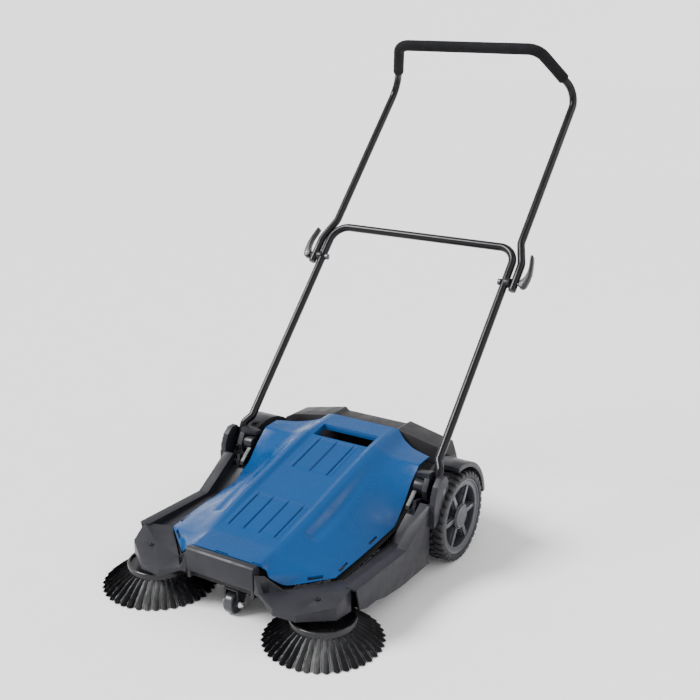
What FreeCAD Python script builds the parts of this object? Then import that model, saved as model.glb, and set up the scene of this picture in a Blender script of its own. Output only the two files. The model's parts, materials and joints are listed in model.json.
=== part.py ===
import FreeCAD, Part
import json
import math
import os

# Push sweeper with two side brushes.
# X is across the machine, -Y is the direction of travel, Z is up, all in millimetres.
# While it is modelled, Y is measured from the wheel axle and Z from the floor; at the end
# the whole machine is shifted so that the origin is the middle of its footprint.

V = FreeCAD.Vector

# ---------------------------------------------------------------- driving dimensions
WORKING_WIDTH = 700.0          # over the tips of both side brushes
WHEEL_R = 108.0                # driving wheels
WHEEL_W = 50.0
WHEEL_OUT = 309.0              # outer face of a wheel from the middle plane
TYRE_DEPTH = 17.0
TREAD_GROOVES = 36
AXLE_R = 8.0

RING_TEETH = 70                # internal gear in each wheel
PINION_TEETH = 17
MODULE = 2.0
GEAR_W = 10.0
PINION_BELOW = 17.6            # pinion axis lower than the wheel axis

ROLLER_HALF = 214.0            # half length of the main brush
ROLLER_FLOOR_GAP = 2.4
ROLLER_STRIPS = 8

SIDE_BRUSH_R = 131.0           # bristle tips on the floor
SIDE_BRUSH_Y = -460.0
SIDE_HUB_R = 71.5
SIDE_HUB_Z = 48.0              # height of the hub's rim
SPINDLE_R = 6.0
SPINDLE_PULLEY_R = 32.0
DRIVE_PULLEY_R = 20.0
BELT_R = 2.5

CASTER_WHEEL_R = 25.0
CASTER_STEM_Y = -455.0
CASTER_TRAIL = 20.0

TUBE_R = 10.0                  # handle tube
TUBE_WALL = 1.5
PIVOT_Y = -82.0                # fold axis of the handle
PIVOT_Z = 201.0
PIVOT_X = 276.0                # middle of the tube where it is clamped
FOOT_LEAN = 27.0               # the foot of each leg stands steeper than the leg
FOOT_LEN = 46.0
CHEEK_W = 12.7
LOBE_W = 14.0
BOLT_R = 5.0
KNOB_R = 19.0
LOWER_HALF = 263.0             # half width of the lower handle, on the tube's middle line
LOWER_LEAN = 43.3              # degrees from upright
LOWER_LEN = 642.0
UPPER_HALF = 267.0
UPPER_LEAN = 43.7
UPPER_LEN = 600.0
UPPER_JOINT_AT = 545.0         # along the lower leg
GRIP_HALF = 200.0              # middle line of the tube at the ends of the grip bar
GRIP_Y = 566.0
GRIP_Z = 1138.0
FOAM_R = 14.5

HOOD_SHELL = 5.0
BAR_HALF = 88.0                # half length of the grip bar across the nose
COLLAR_Z = 236.0               # lower edge of the collar round the hood's grip opening
CLIP_LEN = 32.0                # snap hooks along the hood's lower edge
CLIP_W = 4.0
FRAME_SHELL = 4.0
POD_OUT = 288.0                # outer face of the side frames
POD_IN = 229.0
WALL_IN = 243.0                # wall between the container and a wheel
WALL_OUT = 251.0
FENDER_R = 130.0
FENDER_OUT = 304.0
CHASSIS_BOTTOM = 39.0

CONTAINER_HALF = 238.0
CONTAINER_FRONT = 66.0
CONTAINER_BOTTOM = 40.0
CONTAINER_WALL = 3.5

RUN_FIT = 0.05                 # radial clearance of a running fit
GAP = 0.3                      # clearance between faces that move past each other

# ---------------------------------------------------------------- derived places
SIDE_BRUSH_X = WORKING_WIDTH / 2 - SIDE_BRUSH_R
WHEEL_IN = WHEEL_OUT - WHEEL_W
RING_PITCH_R = MODULE * RING_TEETH / 2
PINION_PITCH_R = MODULE * PINION_TEETH / 2
CENTRES = RING_PITCH_R - PINION_PITCH_R
ROLLER_Y = -math.sqrt(CENTRES ** 2 - PINION_BELOW ** 2)
ROLLER_Z = WHEEL_R - PINION_BELOW
ROLLER_R = ROLLER_Z - ROLLER_FLOOR_GAP
CASTER_Y = CASTER_STEM_Y - CASTER_TRAIL
CHEEK_X1 = PIVOT_X - TUBE_R - GAP
CHEEK_X0 = CHEEK_X1 - CHEEK_W
LOBE_X0 = PIVOT_X + TUBE_R + GAP
COVER_HALF = POD_IN - 3.5
SCREW_X = SIDE_BRUSH_X + 1
SCREW_Y = SIDE_BRUSH_Y - 22
SCREW_Z = 102.5

shapes = {}


# ---------------------------------------------------------------- helpers
def box(x0, x1, y0, y1, z0, z1):
    return Part.makeBox(x1 - x0, y1 - y0, z1 - z0, V(x0, y0, z0))


def cyl_x(radius, x0, x1, y, z):
    return Part.makeCylinder(radius, x1 - x0, V(x0, y, z), V(1, 0, 0))


def cyl_z(radius, x, y, z0, z1):
    return Part.makeCylinder(radius, z1 - z0, V(x, y, z0), V(0, 0, 1))


def prism_x(points, x0, x1):
    """A solid from an outline of (y, z) points, from x0 to x1."""
    wire = Part.makePolygon([V(x0, y, z) for y, z in points + points[:1]])
    return Part.Face(wire).extrude(V(x1 - x0, 0, 0))


def prism_z(points, z0, z1):
    """A solid from an outline of (x, y) points, from z0 to z1."""
    wire = Part.makePolygon([V(x, y, z0) for x, y in points + points[:1]])
    return Part.Face(wire).extrude(V(0, 0, z1 - z0))


def mirrored(shape):
    return shape.mirror(V(0, 0, 0), V(1, 0, 0))


def fuse(parts):
    joined = parts[0].fuse(parts[1:])
    return joined.removeSplitter()


def faceted(triangles):
    """A closed solid from triangles given by their corner points."""
    faces = []
    for a, b, c in triangles:
        if (b - a).cross(c - a).Length > 1e-6:
            faces.append(Part.Face(Part.makePolygon([a, b, c, a])))
    shell = Part.makeShell(faces)
    shell.sewShape()
    solid = Part.Solid(shell)
    if solid.Volume < 0:
        solid.reverse()
    return solid


def quad(a, b, c, d):
    return [(a, b, c), (a, c, d)]


def plate(top, bottom, triangles, rim):
    """A solid between two surfaces with the same corners; rim lists the outer corners."""
    out = [(top[a], top[b], top[c]) for a, b, c in triangles]
    out += [(bottom[a], bottom[c], bottom[b]) for a, b, c in triangles]
    for i, j in zip(rim, rim[1:] + rim[:1]):
        out += quad(top[i], top[j], bottom[j], bottom[i])
    return faceted(out)


def bent_path(points, radii):
    """A wire of straight runs joined by tangent arcs at the inner points."""
    edges = []
    start = points[0]
    for before, corner, after, radius in zip(points, points[1:], points[2:], radii):
        back = (before - corner).normalize()
        ahead = (after - corner).normalize()
        half = math.acos(max(-1.0, min(1.0, back.dot(ahead)))) / 2
        reach = radius / math.tan(half)
        first = corner + back * reach
        last = corner + ahead * reach
        centre = corner + (back + ahead).normalize() * (radius / math.sin(half))
        middle = centre + (corner - centre).normalize() * radius
        edges.append(Part.LineSegment(start, first).toShape())
        edges.append(Part.Arc(first, middle, last).toShape())
        start = last
    edges.append(Part.LineSegment(start, points[-1]).toShape())
    return Part.Wire(edges)


def swept(path, radius):
    start = path.Edges[0]
    direction = start.tangentAt(start.FirstParameter)
    circle = Part.Wire(Part.makeCircle(radius, start.valueAt(start.FirstParameter), direction))
    return path.makePipeShell([circle], True, False)


def tube(points, radii, radius, wall):
    path = bent_path(points, radii)
    return swept(path, radius).cut(swept(path, radius - wall))


def gear_outline(teeth, tip, root, slack, angle, centre):
    """Corners of an involute gear in the YZ plane, one tooth centred on the given angle."""
    pitch = MODULE * teeth / 2
    base = pitch * math.cos(math.radians(20))
    flat = math.tan(math.radians(20)) - math.radians(20)
    half_tooth = math.pi / (2 * teeth) - slack / (2 * pitch) + flat

    def half_angle(radius):
        pressure = math.acos(base / max(radius, base))
        return half_tooth - (math.tan(pressure) - pressure)

    levels = [root, max(root, base), pitch, (pitch + tip) / 2, tip]
    points = []
    for tooth in range(teeth):
        middle = angle + 2 * math.pi * tooth / teeth
        flank = [(radius, middle - half_angle(radius)) for radius in levels]
        flank += [(radius, middle + half_angle(radius)) for radius in reversed(levels)]
        points += [(centre[0] + r * math.cos(a), centre[1] + r * math.sin(a)) for r, a in flank]
    return points


def both(name, shape):
    """Keep a right-hand piece and its mirror image as two nodes."""
    shapes[name + "_right"] = shape
    shapes[name + "_left"] = mirrored(shape)


# ---------------------------------------------------------------- hood
def hood_rows():
    """Corners of the right half of the hood, from the rear edge to the front edge."""
    slope = 92.0 / 384.0

    def panel(y):
        return 249.0 + (y + 50.0) * slope

    def row(y, ridge, flank, skirt, edge):
        z = panel(y)
        inner = [V(0, y, z), V(78, y, z), V(90, y, z + ridge), V(105, y, z + ridge - 3)]
        return inner + [V(*flank), V(*skirt), V(*edge)]

    return [
        [V(0, 62, 263), V(70, 62, 263), V(86, 62, 263), V(99, 62, 262),
         V(126, 44, 244), V(165, 18, 240), V(218, -2, 240)],
        [V(0, 4, 258), V(78, 4, 258), V(89, 4, 259), V(101, 4, 256),
         V(132, 0, 241), V(170, -8, 239), V(218, -24, 240)],
        row(-50, 5, (136, -50, 238), (175, -50, 236), (218, -52, 238)),
        row(-100, 7, (142, -96, 222), (184, -92, 212), (218, -88, 208)),
        row(-150, 7, (150, -145, 202), (190, -132, 180), (219, -120, 171)),
        row(-230, 6, (158, -225, 178), (200, -200, 150), (224, -172, 134)),
        row(-330, 4, (160, -325, 154), (200, -318, 137), (223, -310, 125)),
        [V(0, -434, 157), V(70, -434, 157), V(84, -434, 157), V(93, -433, 156),
         V(140, -440, 136), V(186, -424, 126), V(218, -412, 117)],
        [V(0, -502, 150), V(60, -502, 150), V(88, -502, 149), V(101, -491, 139),
         V(113, -500, 127), V(136, -478, 105), V(176, -446, 111)],
    ]


def hood():
    rows = hood_rows()
    wide = len(rows[0])
    full = [[V(-p.x, p.y, p.z) for p in reversed(row[1:])] + row for row in rows]
    across = 2 * wide - 1
    top = [p for row in full for p in row]
    under = [p - V(0, 0, HOOD_SHELL) for p in top]
    triangles = []
    for i in range(len(rows) - 1):
        for j in range(across - 1):
            a = i * across + j
            corners = (a, a + 1, a + 1 + across, a + across)
            if j < wide - 1:
                triangles += [(corners[0], corners[1], corners[3]), (corners[1], corners[2], corners[3])]
            else:
                triangles += [(corners[0], corners[1], corners[2]), (corners[0], corners[2], corners[3])]
    last = (len(rows) - 1) * across
    rim = list(range(across))
    rim += [across * (i + 1) + across - 1 for i in range(len(rows) - 1)]
    rim += [last + j for j in range(across - 2, -1, -1)]
    rim += [across * i for i in range(len(rows) - 2, 0, -1)]
    shell = plate(top, under, triangles, rim)

    # Opening behind the panel that leaves the rear strip as a carrying grip.
    shell = shell.cut(prism_z([(-76, 4), (76, 4), (80, -50), (-80, -50)], 200, 280))
    pocket = prism_z([(-80, 8), (80, 8), (84, -54), (-84, -54)], COLLAR_Z, 254)
    pocket = pocket.cut(prism_z([(-76, 4), (76, 4), (80, -50), (-80, -50)], 200, 280))
    pocket = pocket.cut(box(-100, 100, -2, 20, 200, 280))
    below = plate([p - V(0, 0, 2) for p in top], [V(p.x, p.y, 150) for p in top], triangles, rim)
    shell = shell.fuse(pocket.common(below)).removeSplitter()

    # Grooves in the panel: three behind the middle and four ahead of it.
    angle = math.degrees(math.atan(92.0 / 384.0))
    lines = [(x, -56.0, -179.0) for x in (-47, 0, 47)]
    lines += [(x, -292.0, -407.0) for x in (-62, -21, 21, 62)]
    for x, y_rear, y_front in lines:
        length = (y_rear - y_front) / math.cos(math.radians(angle))
        groove = Part.makeBox(7, length, 10, V(-3.5, -length, -2.5))
        groove.rotate(V(0, 0, 0), V(1, 0, 0), angle)
        groove.translate(V(x, y_rear, 249.0 + (y_rear + 50.0) * 92.0 / 384.0))
        shell = shell.cut(groove)
    return shell.cut(edge_bars(CLIP_LEN + 0.4, CLIP_W + 0.4, 20, 20))


# ---------------------------------------------------------------- side frames
def arm():
    """Cover over a side brush, ahead of the pod; the spindle's bush sits in its boss."""
    x = SIDE_BRUSH_X
    top = [V(x, -471, 107), V(BAR_HALF + 2, -521, 136), V(BAR_HALF + 16, -524, 100), V(x - 69, -541, 88),
           V(x - 16, -536, 88), V(x + 49, -487, 102), V(x + 56, -442, 124), V(x + 9, -402, 112),
           V(x - 79, -485, 99), V(BAR_HALF + 15, -502, 130)]
    fan = [(0, 3, 4), (0, 4, 5), (0, 5, 6), (0, 6, 7), (0, 7, 8), (0, 8, 3),
           (8, 2, 3), (8, 9, 2), (9, 1, 2)]
    rim = [1, 2, 3, 4, 5, 6, 7, 8, 9]
    low = [V(p.x, p.y, 72 if p.x > BAR_HALF + 42 else 92) for p in top]
    outer = plate(top, low, fan, rim)
    middle = V(x - 24, -478, 0)

    def inset(p, z):
        return V(middle.x + (p.x - middle.x) * 0.9, middle.y + (p.y - middle.y) * 0.86, z)

    hollow = plate([inset(p, p.z - 5) for p in top], [inset(p, 60) for p in top], fan, rim)
    boss = cyl_z(16, SIDE_BRUSH_X, SIDE_BRUSH_Y, 84, 140).common(outer)
    shell = outer.cut(hollow).fuse(boss)
    shell = shell.cut(cyl_z(SPINDLE_PULLEY_R + 6.5, SIDE_BRUSH_X, SIDE_BRUSH_Y, 60, 83))
    return shell.cut(box(x - 43, POD_OUT - 26, -440, -395, 60, 98))


def pod():
    """Hollow side body ahead of the wheel, open to the inside."""
    outline = [(-127, CHASSIS_BOTTOM), (-216, 41), (-256, 42), (-326, 51), (-362, 62), (-403, 64),
               (-430, 74), (-442, 124), (-232, 118), (-196, 140), (-128, 184)]
    below = [(-131, CHASSIS_BOTTOM + 4), (-216, 45), (-256, 46), (-326, 55), (-362, 66), (-403, 68), (-445, 74)]
    inner = below + [(-445, 119), (-232, 104), (-200, 106), (-131, 148)]
    under_ledge = below + [(-445, 104), (-232, 104), (-200, 106), (-131, 148)]
    solid = prism_x(outline, POD_IN, POD_OUT)
    ledge = [(-450, 108), (-201, 110), (-128, 152), (-120, 152), (-120, 200), (-450, 200)]
    solid = solid.cut(prism_x(ledge, POD_IN - 1, 262))
    solid = solid.cut(prism_x(under_ledge, POD_IN - 1, 266))
    return solid.cut(prism_x(inner, 266, POD_OUT - FRAME_SHELL))


def upright():
    """Post with a clevis for the handle: rear wall, cap, inner cheek and outer lobe."""
    cap_top = [V(226, -80, 232), V(CHEEK_X1 - 2, -91, 240), V(CHEEK_X1 - 2, -64, 238), V(226, -60, 231)]
    cap = plate(cap_top, [V(p.x, p.y, 223) for p in cap_top], [(0, 1, 2), (0, 2, 3)], [0, 1, 2, 3])
    wall = box(226, CHEEK_X1, -64, -55, 130, 226)
    cheek = prism_x([(-98, 176), (-106, 201), (-92, 228), (-60, 228), (-60, 140)], CHEEK_X0, CHEEK_X1)
    lobe = prism_x([(-127, 140), (-128, 184), (-127, 200), (-116, 224), (-98, 238), (-78, 238), (-66, 224),
                    (-64, 204), (-80, 190), (-100, 163), (-109, 140)], LOBE_X0, LOBE_X0 + LOBE_W)
    foot = prism_x([(-131, 130), (-131, 184), (-124, 184), (-110, 140)], POD_OUT - 6, LOBE_X0 + LOBE_W)
    floor_plate = prism_x([(-131, 146), (-131, 151), (-60, 168), (-55, 168), (-55, 160)], 226, WALL_OUT)
    rib = prism_x([(-127, 60), (-127, 184), (-60, 172), (-60, 130), (-100, 120)], WALL_IN, WALL_OUT)
    return [cap, wall, cheek, lobe, foot, floor_plate, rib]


def wheel_side():
    """Wall beside the container with the wheel's axle boss, the bearing hole and the fender."""
    wall = prism_x([(-131, CHASSIS_BOTTOM), (60, CHASSIS_BOTTOM), (60, 190), (-131, 170)], WALL_IN, WALL_OUT)
    round_part = cyl_x(FENDER_R, WALL_IN, WALL_OUT, 0, WHEEL_R)
    round_part = round_part.cut(box(0, 400, -200, 200, -50, CHASSIS_BOTTOM))
    round_part = round_part.cut(box(0, 400, -200, -58, 150, 300))
    boss = cyl_x(18, 236, 257, 0, WHEEL_R)
    ring = cyl_x(FENDER_R, WALL_OUT - 1, FENDER_OUT, 0, WHEEL_R)
    ring = ring.cut(cyl_x(FENDER_R - 12, WALL_OUT - 2, FENDER_OUT + 1, 0, WHEEL_R))
    keep = prism_x([(0, WHEEL_R), (-30, 300), (300, 300), (300, 150)], WALL_OUT - 1, FENDER_OUT)
    rail = box(226, WALL_IN + 1, 72, 120, CONTAINER_BOTTOM - 8, CONTAINER_BOTTOM)
    stay = prism_x([(60, 32), (60, 60), (90, 60), (120, 45), (120, 32)], WALL_IN, WALL_OUT)
    return [fuse([wall, round_part]), boss, ring.common(keep), rail, stay]


def side_frame():
    solid = fuse([pod(), arm()] + upright() + wheel_side())
    solid = solid.cut(cyl_x(WHEEL_R + 5, WALL_OUT + 6, WHEEL_OUT + 10, 0, WHEEL_R))
    solid = solid.cut(box(220, 245, -136, -120, 55, 128))
    solid = solid.cut(cyl_x(KNOB_R + 1, 220, CHEEK_X0, PIVOT_Y, PIVOT_Z))
    solid = solid.cut(cyl_x(AXLE_R, 230, 260, 0, WHEEL_R))
    solid = solid.cut(cyl_x(12, 235, 260, ROLLER_Y, ROLLER_Z))
    solid = solid.cut(cyl_x(BOLT_R, 240, 320, PIVOT_Y, PIVOT_Z))
    solid = solid.cut(cyl_x(9.5, LOBE_X0 + LOBE_W - 5, 320, PIVOT_Y, PIVOT_Z))
    solid = solid.cut(cyl_z(11, SIDE_BRUSH_X, SIDE_BRUSH_Y, 60, 104))
    solid = solid.cut(cyl_z(2.5, SCREW_X, SCREW_Y, 80, 120))
    return solid.cut(cyl_z(6.3, SCREW_X, SCREW_Y, SCREW_Z, 120))


# ---------------------------------------------------------------- rest of the chassis
def brush_housing():
    """Cover over the main brush with the front beam that holds the caster."""
    roof = [(-300, 112), (-170, 126), (-128, 150), (-90, 183), (-50, 192), (62, 192)]
    ceiling = [(62, 189), (-49, 189), (-88.5, 180), (-126.5, 147), (-169, 123), (-300, 109)]
    beam = [(-434, 98), (-434, 62), (-439, 62), (-439, 88), (-480, 88), (-480, 62), (-484, 62),
            (-484, 92), (-446, 92), (-446, 101)]
    middle = prism_x(roof + ceiling + beam, -128, 128)
    wings = []
    for s in (-1, 1):
        near, far, rail = 127 * s, COVER_HALF * s, WALL_IN * s
        wings.append(prism_x([(-400, 105)] + roof + ceiling + [(-400, 102)], min(near, far), max(near, far)))
        shelf = [(-50, 192), (62, 192), (62, 189), (-49, 189)]
        wings.append(prism_x(shelf, min(far, rail), max(far, rail)))
        wings.append(box(min(123 * s, 128 * s), max(123 * s, 128 * s), -483, -435, 62, 92))
        back = SIDE_BRUSH_X - 36
        web = [(126, -483), (137, -482), (back, -439), (back - 3, -436), (135, -478), (126, -478)]
        wings.append(prism_z([(s * u, v) for u, v in web], 62, 98))
        lip = [(back - 2, -440.5), (back + 23, -418.5), (back + 21, -415), (back - 4.5, -437)]
        wings.append(prism_z([(s * u, v) for u, v in lip], 80, 98))
    boss = cyl_z(17, 0, CASTER_STEM_Y, 62, 91)
    body = fuse([middle, boss] + wings)
    return body.cut(cyl_z(10, 0, CASTER_STEM_Y, 60, 90))


def front_bar():
    """Grip bar across the nose, hooked between the two arms."""
    section = [(-502, 147), (-506, 151), (-518, 151), (-522, 147), (-524, 138), (-522, 98),
               (-500, 94), (-500, 100), (-517, 104), (-518, 134), (-502, 140)]
    bar = prism_x(section, -BAR_HALF, BAR_HALF)
    leg = [box(s * (BAR_HALF - 4) - 4, s * (BAR_HALF - 4) + 4, -520, -499, 80, 142) for s in (-1, 1)]
    return fuse([bar] + leg)


def edge_bars(length, width, below, above):
    """Upright bars in the six places of the snap hooks, just inside the hood's lower edge."""
    bars = []
    for x, y, z, turn in ((183, -434, 118, 38.5), (212.5, -372, 124.5, 90), (215, -255, 134.5, 90)):
        bar = box(-length / 2, length / 2, -width / 2, width / 2, z - below, z + above)
        bar.rotate(V(0, 0, 0), V(0, 0, 1), turn)
        bar.translate(V(x, y, 0))
        bars += [bar, mirrored(bar)]
    return Part.makeCompound(bars)


def screw(x, y, z):
    head = Part.makeCylinder(6, 3, V(x, y, z), V(0, 0, 1))
    shank = Part.makeCylinder(2.5, 12, V(x, y, z - 12), V(0, 0, 1))
    socket = prism_z([(x + 2.6 * math.cos(math.radians(60 * k)), y + 2.6 * math.sin(math.radians(60 * k)))
                      for k in range(6)], z + 1.2, z + 4)
    return head.fuse(shank).cut(socket)


def belt():
    """Round belt from the roller's pulley, quarter turned to the spindle's pulley."""
    x = 234.0
    y_far = SIDE_BRUSH_Y
    z_far = 75.0
    drive = DRIVE_PULLEY_R + BELT_R
    driven = SPINDLE_PULLEY_R + BELT_R
    upper = (V(x, ROLLER_Y, ROLLER_Z + drive), V(SIDE_BRUSH_X + driven, y_far, z_far))
    lower = (V(x, ROLLER_Y, ROLLER_Z - drive), V(SIDE_BRUSH_X - driven, y_far, z_far))
    parts = []
    for a, b in (upper, lower):
        parts.append(Part.makeCylinder(BELT_R, (b - a).Length, a, b - a))
    for centre, axis, radius, far in (
            (V(x, ROLLER_Y, ROLLER_Z), V(1, 0, 0), drive, V(0, 1, 0)),
            (V(SIDE_BRUSH_X, y_far, z_far), V(0, 0, 1), driven, V(0, -1, 0))):
        ring = Part.makeTorus(radius, BELT_R, centre, axis)
        keep = Part.makeBox(300, 300, 300, centre - V(150, 150, 150))
        keep.translate(far * 150)
        parts.append(ring.common(keep))
    return fuse(parts)


# ---------------------------------------------------------------- wheels and drive
def wheel():
    tyre = cyl_x(WHEEL_R, WHEEL_IN, WHEEL_OUT, 0, WHEEL_R)
    tyre = tyre.cut(cyl_x(WHEEL_R - TYRE_DEPTH, WHEEL_IN - 1, WHEEL_OUT + 1, 0, WHEEL_R))
    cutters = []
    for k in range(TREAD_GROOVES):
        for side, shift in ((0, 0.0), (1, 0.5)):
            x0 = WHEEL_IN - 1 if side == 0 else WHEEL_OUT - 21
            groove = box(x0, x0 + 22, -2.5, 2.5, WHEEL_R - 4, WHEEL_R + 2)
            groove.rotate(V(0, 0, 0), V(1, 0, 0), (k + shift) * 360.0 / TREAD_GROOVES)
            groove.translate(V(0, 0, WHEEL_R))
            cutters.append(groove)
    tyre = tyre.cut(Part.makeCompound(cutters))

    rim_r = WHEEL_R - TYRE_DEPTH
    rim = cyl_x(rim_r, WHEEL_IN + 2, WHEEL_OUT - 2, 0, WHEEL_R)
    rim = rim.cut(cyl_x(74, WHEEL_IN, WHEEL_OUT, 0, WHEEL_R))
    rim = rim.cut(cyl_x(82, WHEEL_IN, WHEEL_IN + 14.5, 0, WHEEL_R))
    hub = cyl_x(27, WHEEL_IN + 3, WHEEL_OUT - 6, 0, WHEEL_R)
    spokes = []
    for k in range(6):
        spoke = prism_z([(WHEEL_IN + 20, -8), (WHEEL_OUT - 8, -6), (WHEEL_OUT - 8, 6), (WHEEL_IN + 20, 8)], 20, 78)
        spoke.rotate(V(0, 0, 0), V(1, 0, 0), 60.0 * k + 30)
        spoke.translate(V(0, 0, WHEEL_R))
        spokes.append(spoke)
    rim = fuse([rim, hub] + spokes)
    rim = rim.cut(cyl_x(AXLE_R + RUN_FIT, WHEEL_IN - 1, WHEEL_OUT + 1, 0, WHEEL_R))
    rim = rim.cut(cyl_x(16, WHEEL_OUT - 12, WHEEL_OUT, 0, WHEEL_R))

    cap = cyl_x(28, WHEEL_OUT - 6, WHEEL_OUT - 1, 0, WHEEL_R)
    cap = cap.makeFillet(2, [e for e in cap.Edges if e.BoundBox.XMin > WHEEL_OUT - 2])
    cap = cap.fuse(cyl_x(16, WHEEL_OUT - 9, WHEEL_OUT - 5, 0, WHEEL_R).cut(
        cyl_x(13, WHEEL_OUT - 10, WHEEL_OUT - 6, 0, WHEEL_R)))
    return tyre, rim, cap.removeSplitter()


def mesh_angle():
    """Direction from the wheel's axis to the pinion's axis in the YZ plane."""
    return math.atan2(ROLLER_Z - WHEEL_R, ROLLER_Y)


def ring_gear():
    x0 = WHEEL_IN + 2
    space = gear_outline(RING_TEETH, RING_PITCH_R + 1.25 * MODULE, RING_PITCH_R - 0.8 * MODULE,
                         -0.25, mesh_angle(), (0, WHEEL_R))
    ring = cyl_x(82, x0, x0 + GEAR_W + 2, 0, WHEEL_R)
    return ring.cut(prism_x(space, x0 - 1, x0 + GEAR_W + 4))


def pinion():
    x0 = WHEEL_IN + 2.5
    teeth = gear_outline(PINION_TEETH, PINION_PITCH_R + 0.95 * MODULE, PINION_PITCH_R - 1.15 * MODULE,
                         0.25, mesh_angle(), (ROLLER_Y, ROLLER_Z))
    return prism_x(teeth, x0, x0 + GEAR_W)


def drive_pulley():
    x = 234.0
    body = cyl_x(DRIVE_PULLEY_R + 4, x - 6, x + 6, ROLLER_Y, ROLLER_Z)
    groove = Part.makeTorus(DRIVE_PULLEY_R + BELT_R, BELT_R + 0.8, V(x, ROLLER_Y, ROLLER_Z), V(1, 0, 0))
    rim = cyl_x(DRIVE_PULLEY_R + 5, x - BELT_R - 1.2, x + BELT_R + 1.2, ROLLER_Y, ROLLER_Z)
    rim = rim.cut(cyl_x(DRIVE_PULLEY_R + 1.2, x - 8, x + 8, ROLLER_Y, ROLLER_Z))
    body = body.cut(groove).cut(rim)
    return body.cut(cyl_x(AXLE_R, x - 7, x + 7, ROLLER_Y, ROLLER_Z))


def spindle_pulley():
    z = 75.0
    body = cyl_z(SPINDLE_PULLEY_R + 4, SIDE_BRUSH_X, SIDE_BRUSH_Y, z - 5, z + 5)
    centre = V(SIDE_BRUSH_X, SIDE_BRUSH_Y, z)
    groove = Part.makeTorus(SPINDLE_PULLEY_R + BELT_R, BELT_R + 0.8, centre, V(0, 0, 1))
    rim = cyl_z(SPINDLE_PULLEY_R + 5, SIDE_BRUSH_X, SIDE_BRUSH_Y, z - BELT_R - 1.2, z + BELT_R + 1.2)
    rim = rim.cut(cyl_z(SPINDLE_PULLEY_R + 1.2, SIDE_BRUSH_X, SIDE_BRUSH_Y, z - 8, z + 8))
    body = body.cut(groove).cut(rim)
    return body.cut(cyl_z(SPINDLE_R, SIDE_BRUSH_X, SIDE_BRUSH_Y, z - 6, z + 6))


def roller():
    reach = WHEEL_IN + 2.5 + GEAR_W + 2
    shaft = cyl_x(AXLE_R, -reach, reach, ROLLER_Y, ROLLER_Z)
    core = cyl_x(40, -ROLLER_HALF, ROLLER_HALF, ROLLER_Y, ROLLER_Z)
    core = core.cut(cyl_x(34, -ROLLER_HALF + 6, ROLLER_HALF - 6, ROLLER_Y, ROLLER_Z))
    core = core.cut(cyl_x(AXLE_R, -ROLLER_HALF - 1, ROLLER_HALF + 1, ROLLER_Y, ROLLER_Z))
    strips = []
    for k in range(ROLLER_STRIPS):
        strip = box(-ROLLER_HALF + 4, ROLLER_HALF - 4, -4, 4, 36, ROLLER_R + 5)
        strip.rotate(V(0, 0, 0), V(1, 0, 0), k * 360.0 / ROLLER_STRIPS)
        strip.translate(V(0, ROLLER_Y, ROLLER_Z))
        strips.append(strip)
    sleeve = cyl_x(ROLLER_R, -ROLLER_HALF, ROLLER_HALF, ROLLER_Y, ROLLER_Z)
    sleeve = sleeve.cut(cyl_x(40, -ROLLER_HALF - 1, ROLLER_HALF + 1, ROLLER_Y, ROLLER_Z))
    bristles = Part.makeCompound([strip.common(sleeve) for strip in strips])
    return shaft, core, bristles


# ---------------------------------------------------------------- side brushes and caster
def turned_z(outline, x, y):
    """A solid of revolution about a vertical axis from (radius, z) points."""
    wire = Part.makePolygon([V(r, 0, z) for r, z in outline + outline[:1]])
    solid = Part.Face(wire).revolve(V(0, 0, 0), V(0, 0, 1), 360)
    solid.translate(V(x, y, 0))
    return solid


def side_brush():
    x = SIDE_BRUSH_X
    y = SIDE_BRUSH_Y
    z = SIDE_HUB_Z
    rim = [(SIDE_HUB_R - 7.5, z + 2), (SIDE_HUB_R - 6, z + 8), (SIDE_HUB_R - 1.5, z + 8), (SIDE_HUB_R, z + 6.5),
           (SIDE_HUB_R, z - 8), (SIDE_HUB_R - 6, z - 8), (SIDE_HUB_R - 7.5, z - 1.5)]
    hub = turned_z([(SPINDLE_R, z - 2), (SPINDLE_R, z + 19), (18, z + 19), (21, z + 8), (27, z + 6)] + rim
                   + [(27, z + 2.5), (16, z + 4), (16, z - 2)], x, y)
    bristles = turned_z([(SIDE_HUB_R - 6, z - 8.0), (SIDE_HUB_R, z - 8.0), (SIDE_BRUSH_R, 1),
                         (SIDE_BRUSH_R - 10, 1)], x, y)
    spindle = cyl_z(SPINDLE_R, x, y, z - 6, 102).fuse(cyl_z(11, x, y, z - 8, z - 2))
    return hub, bristles, spindle


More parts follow.
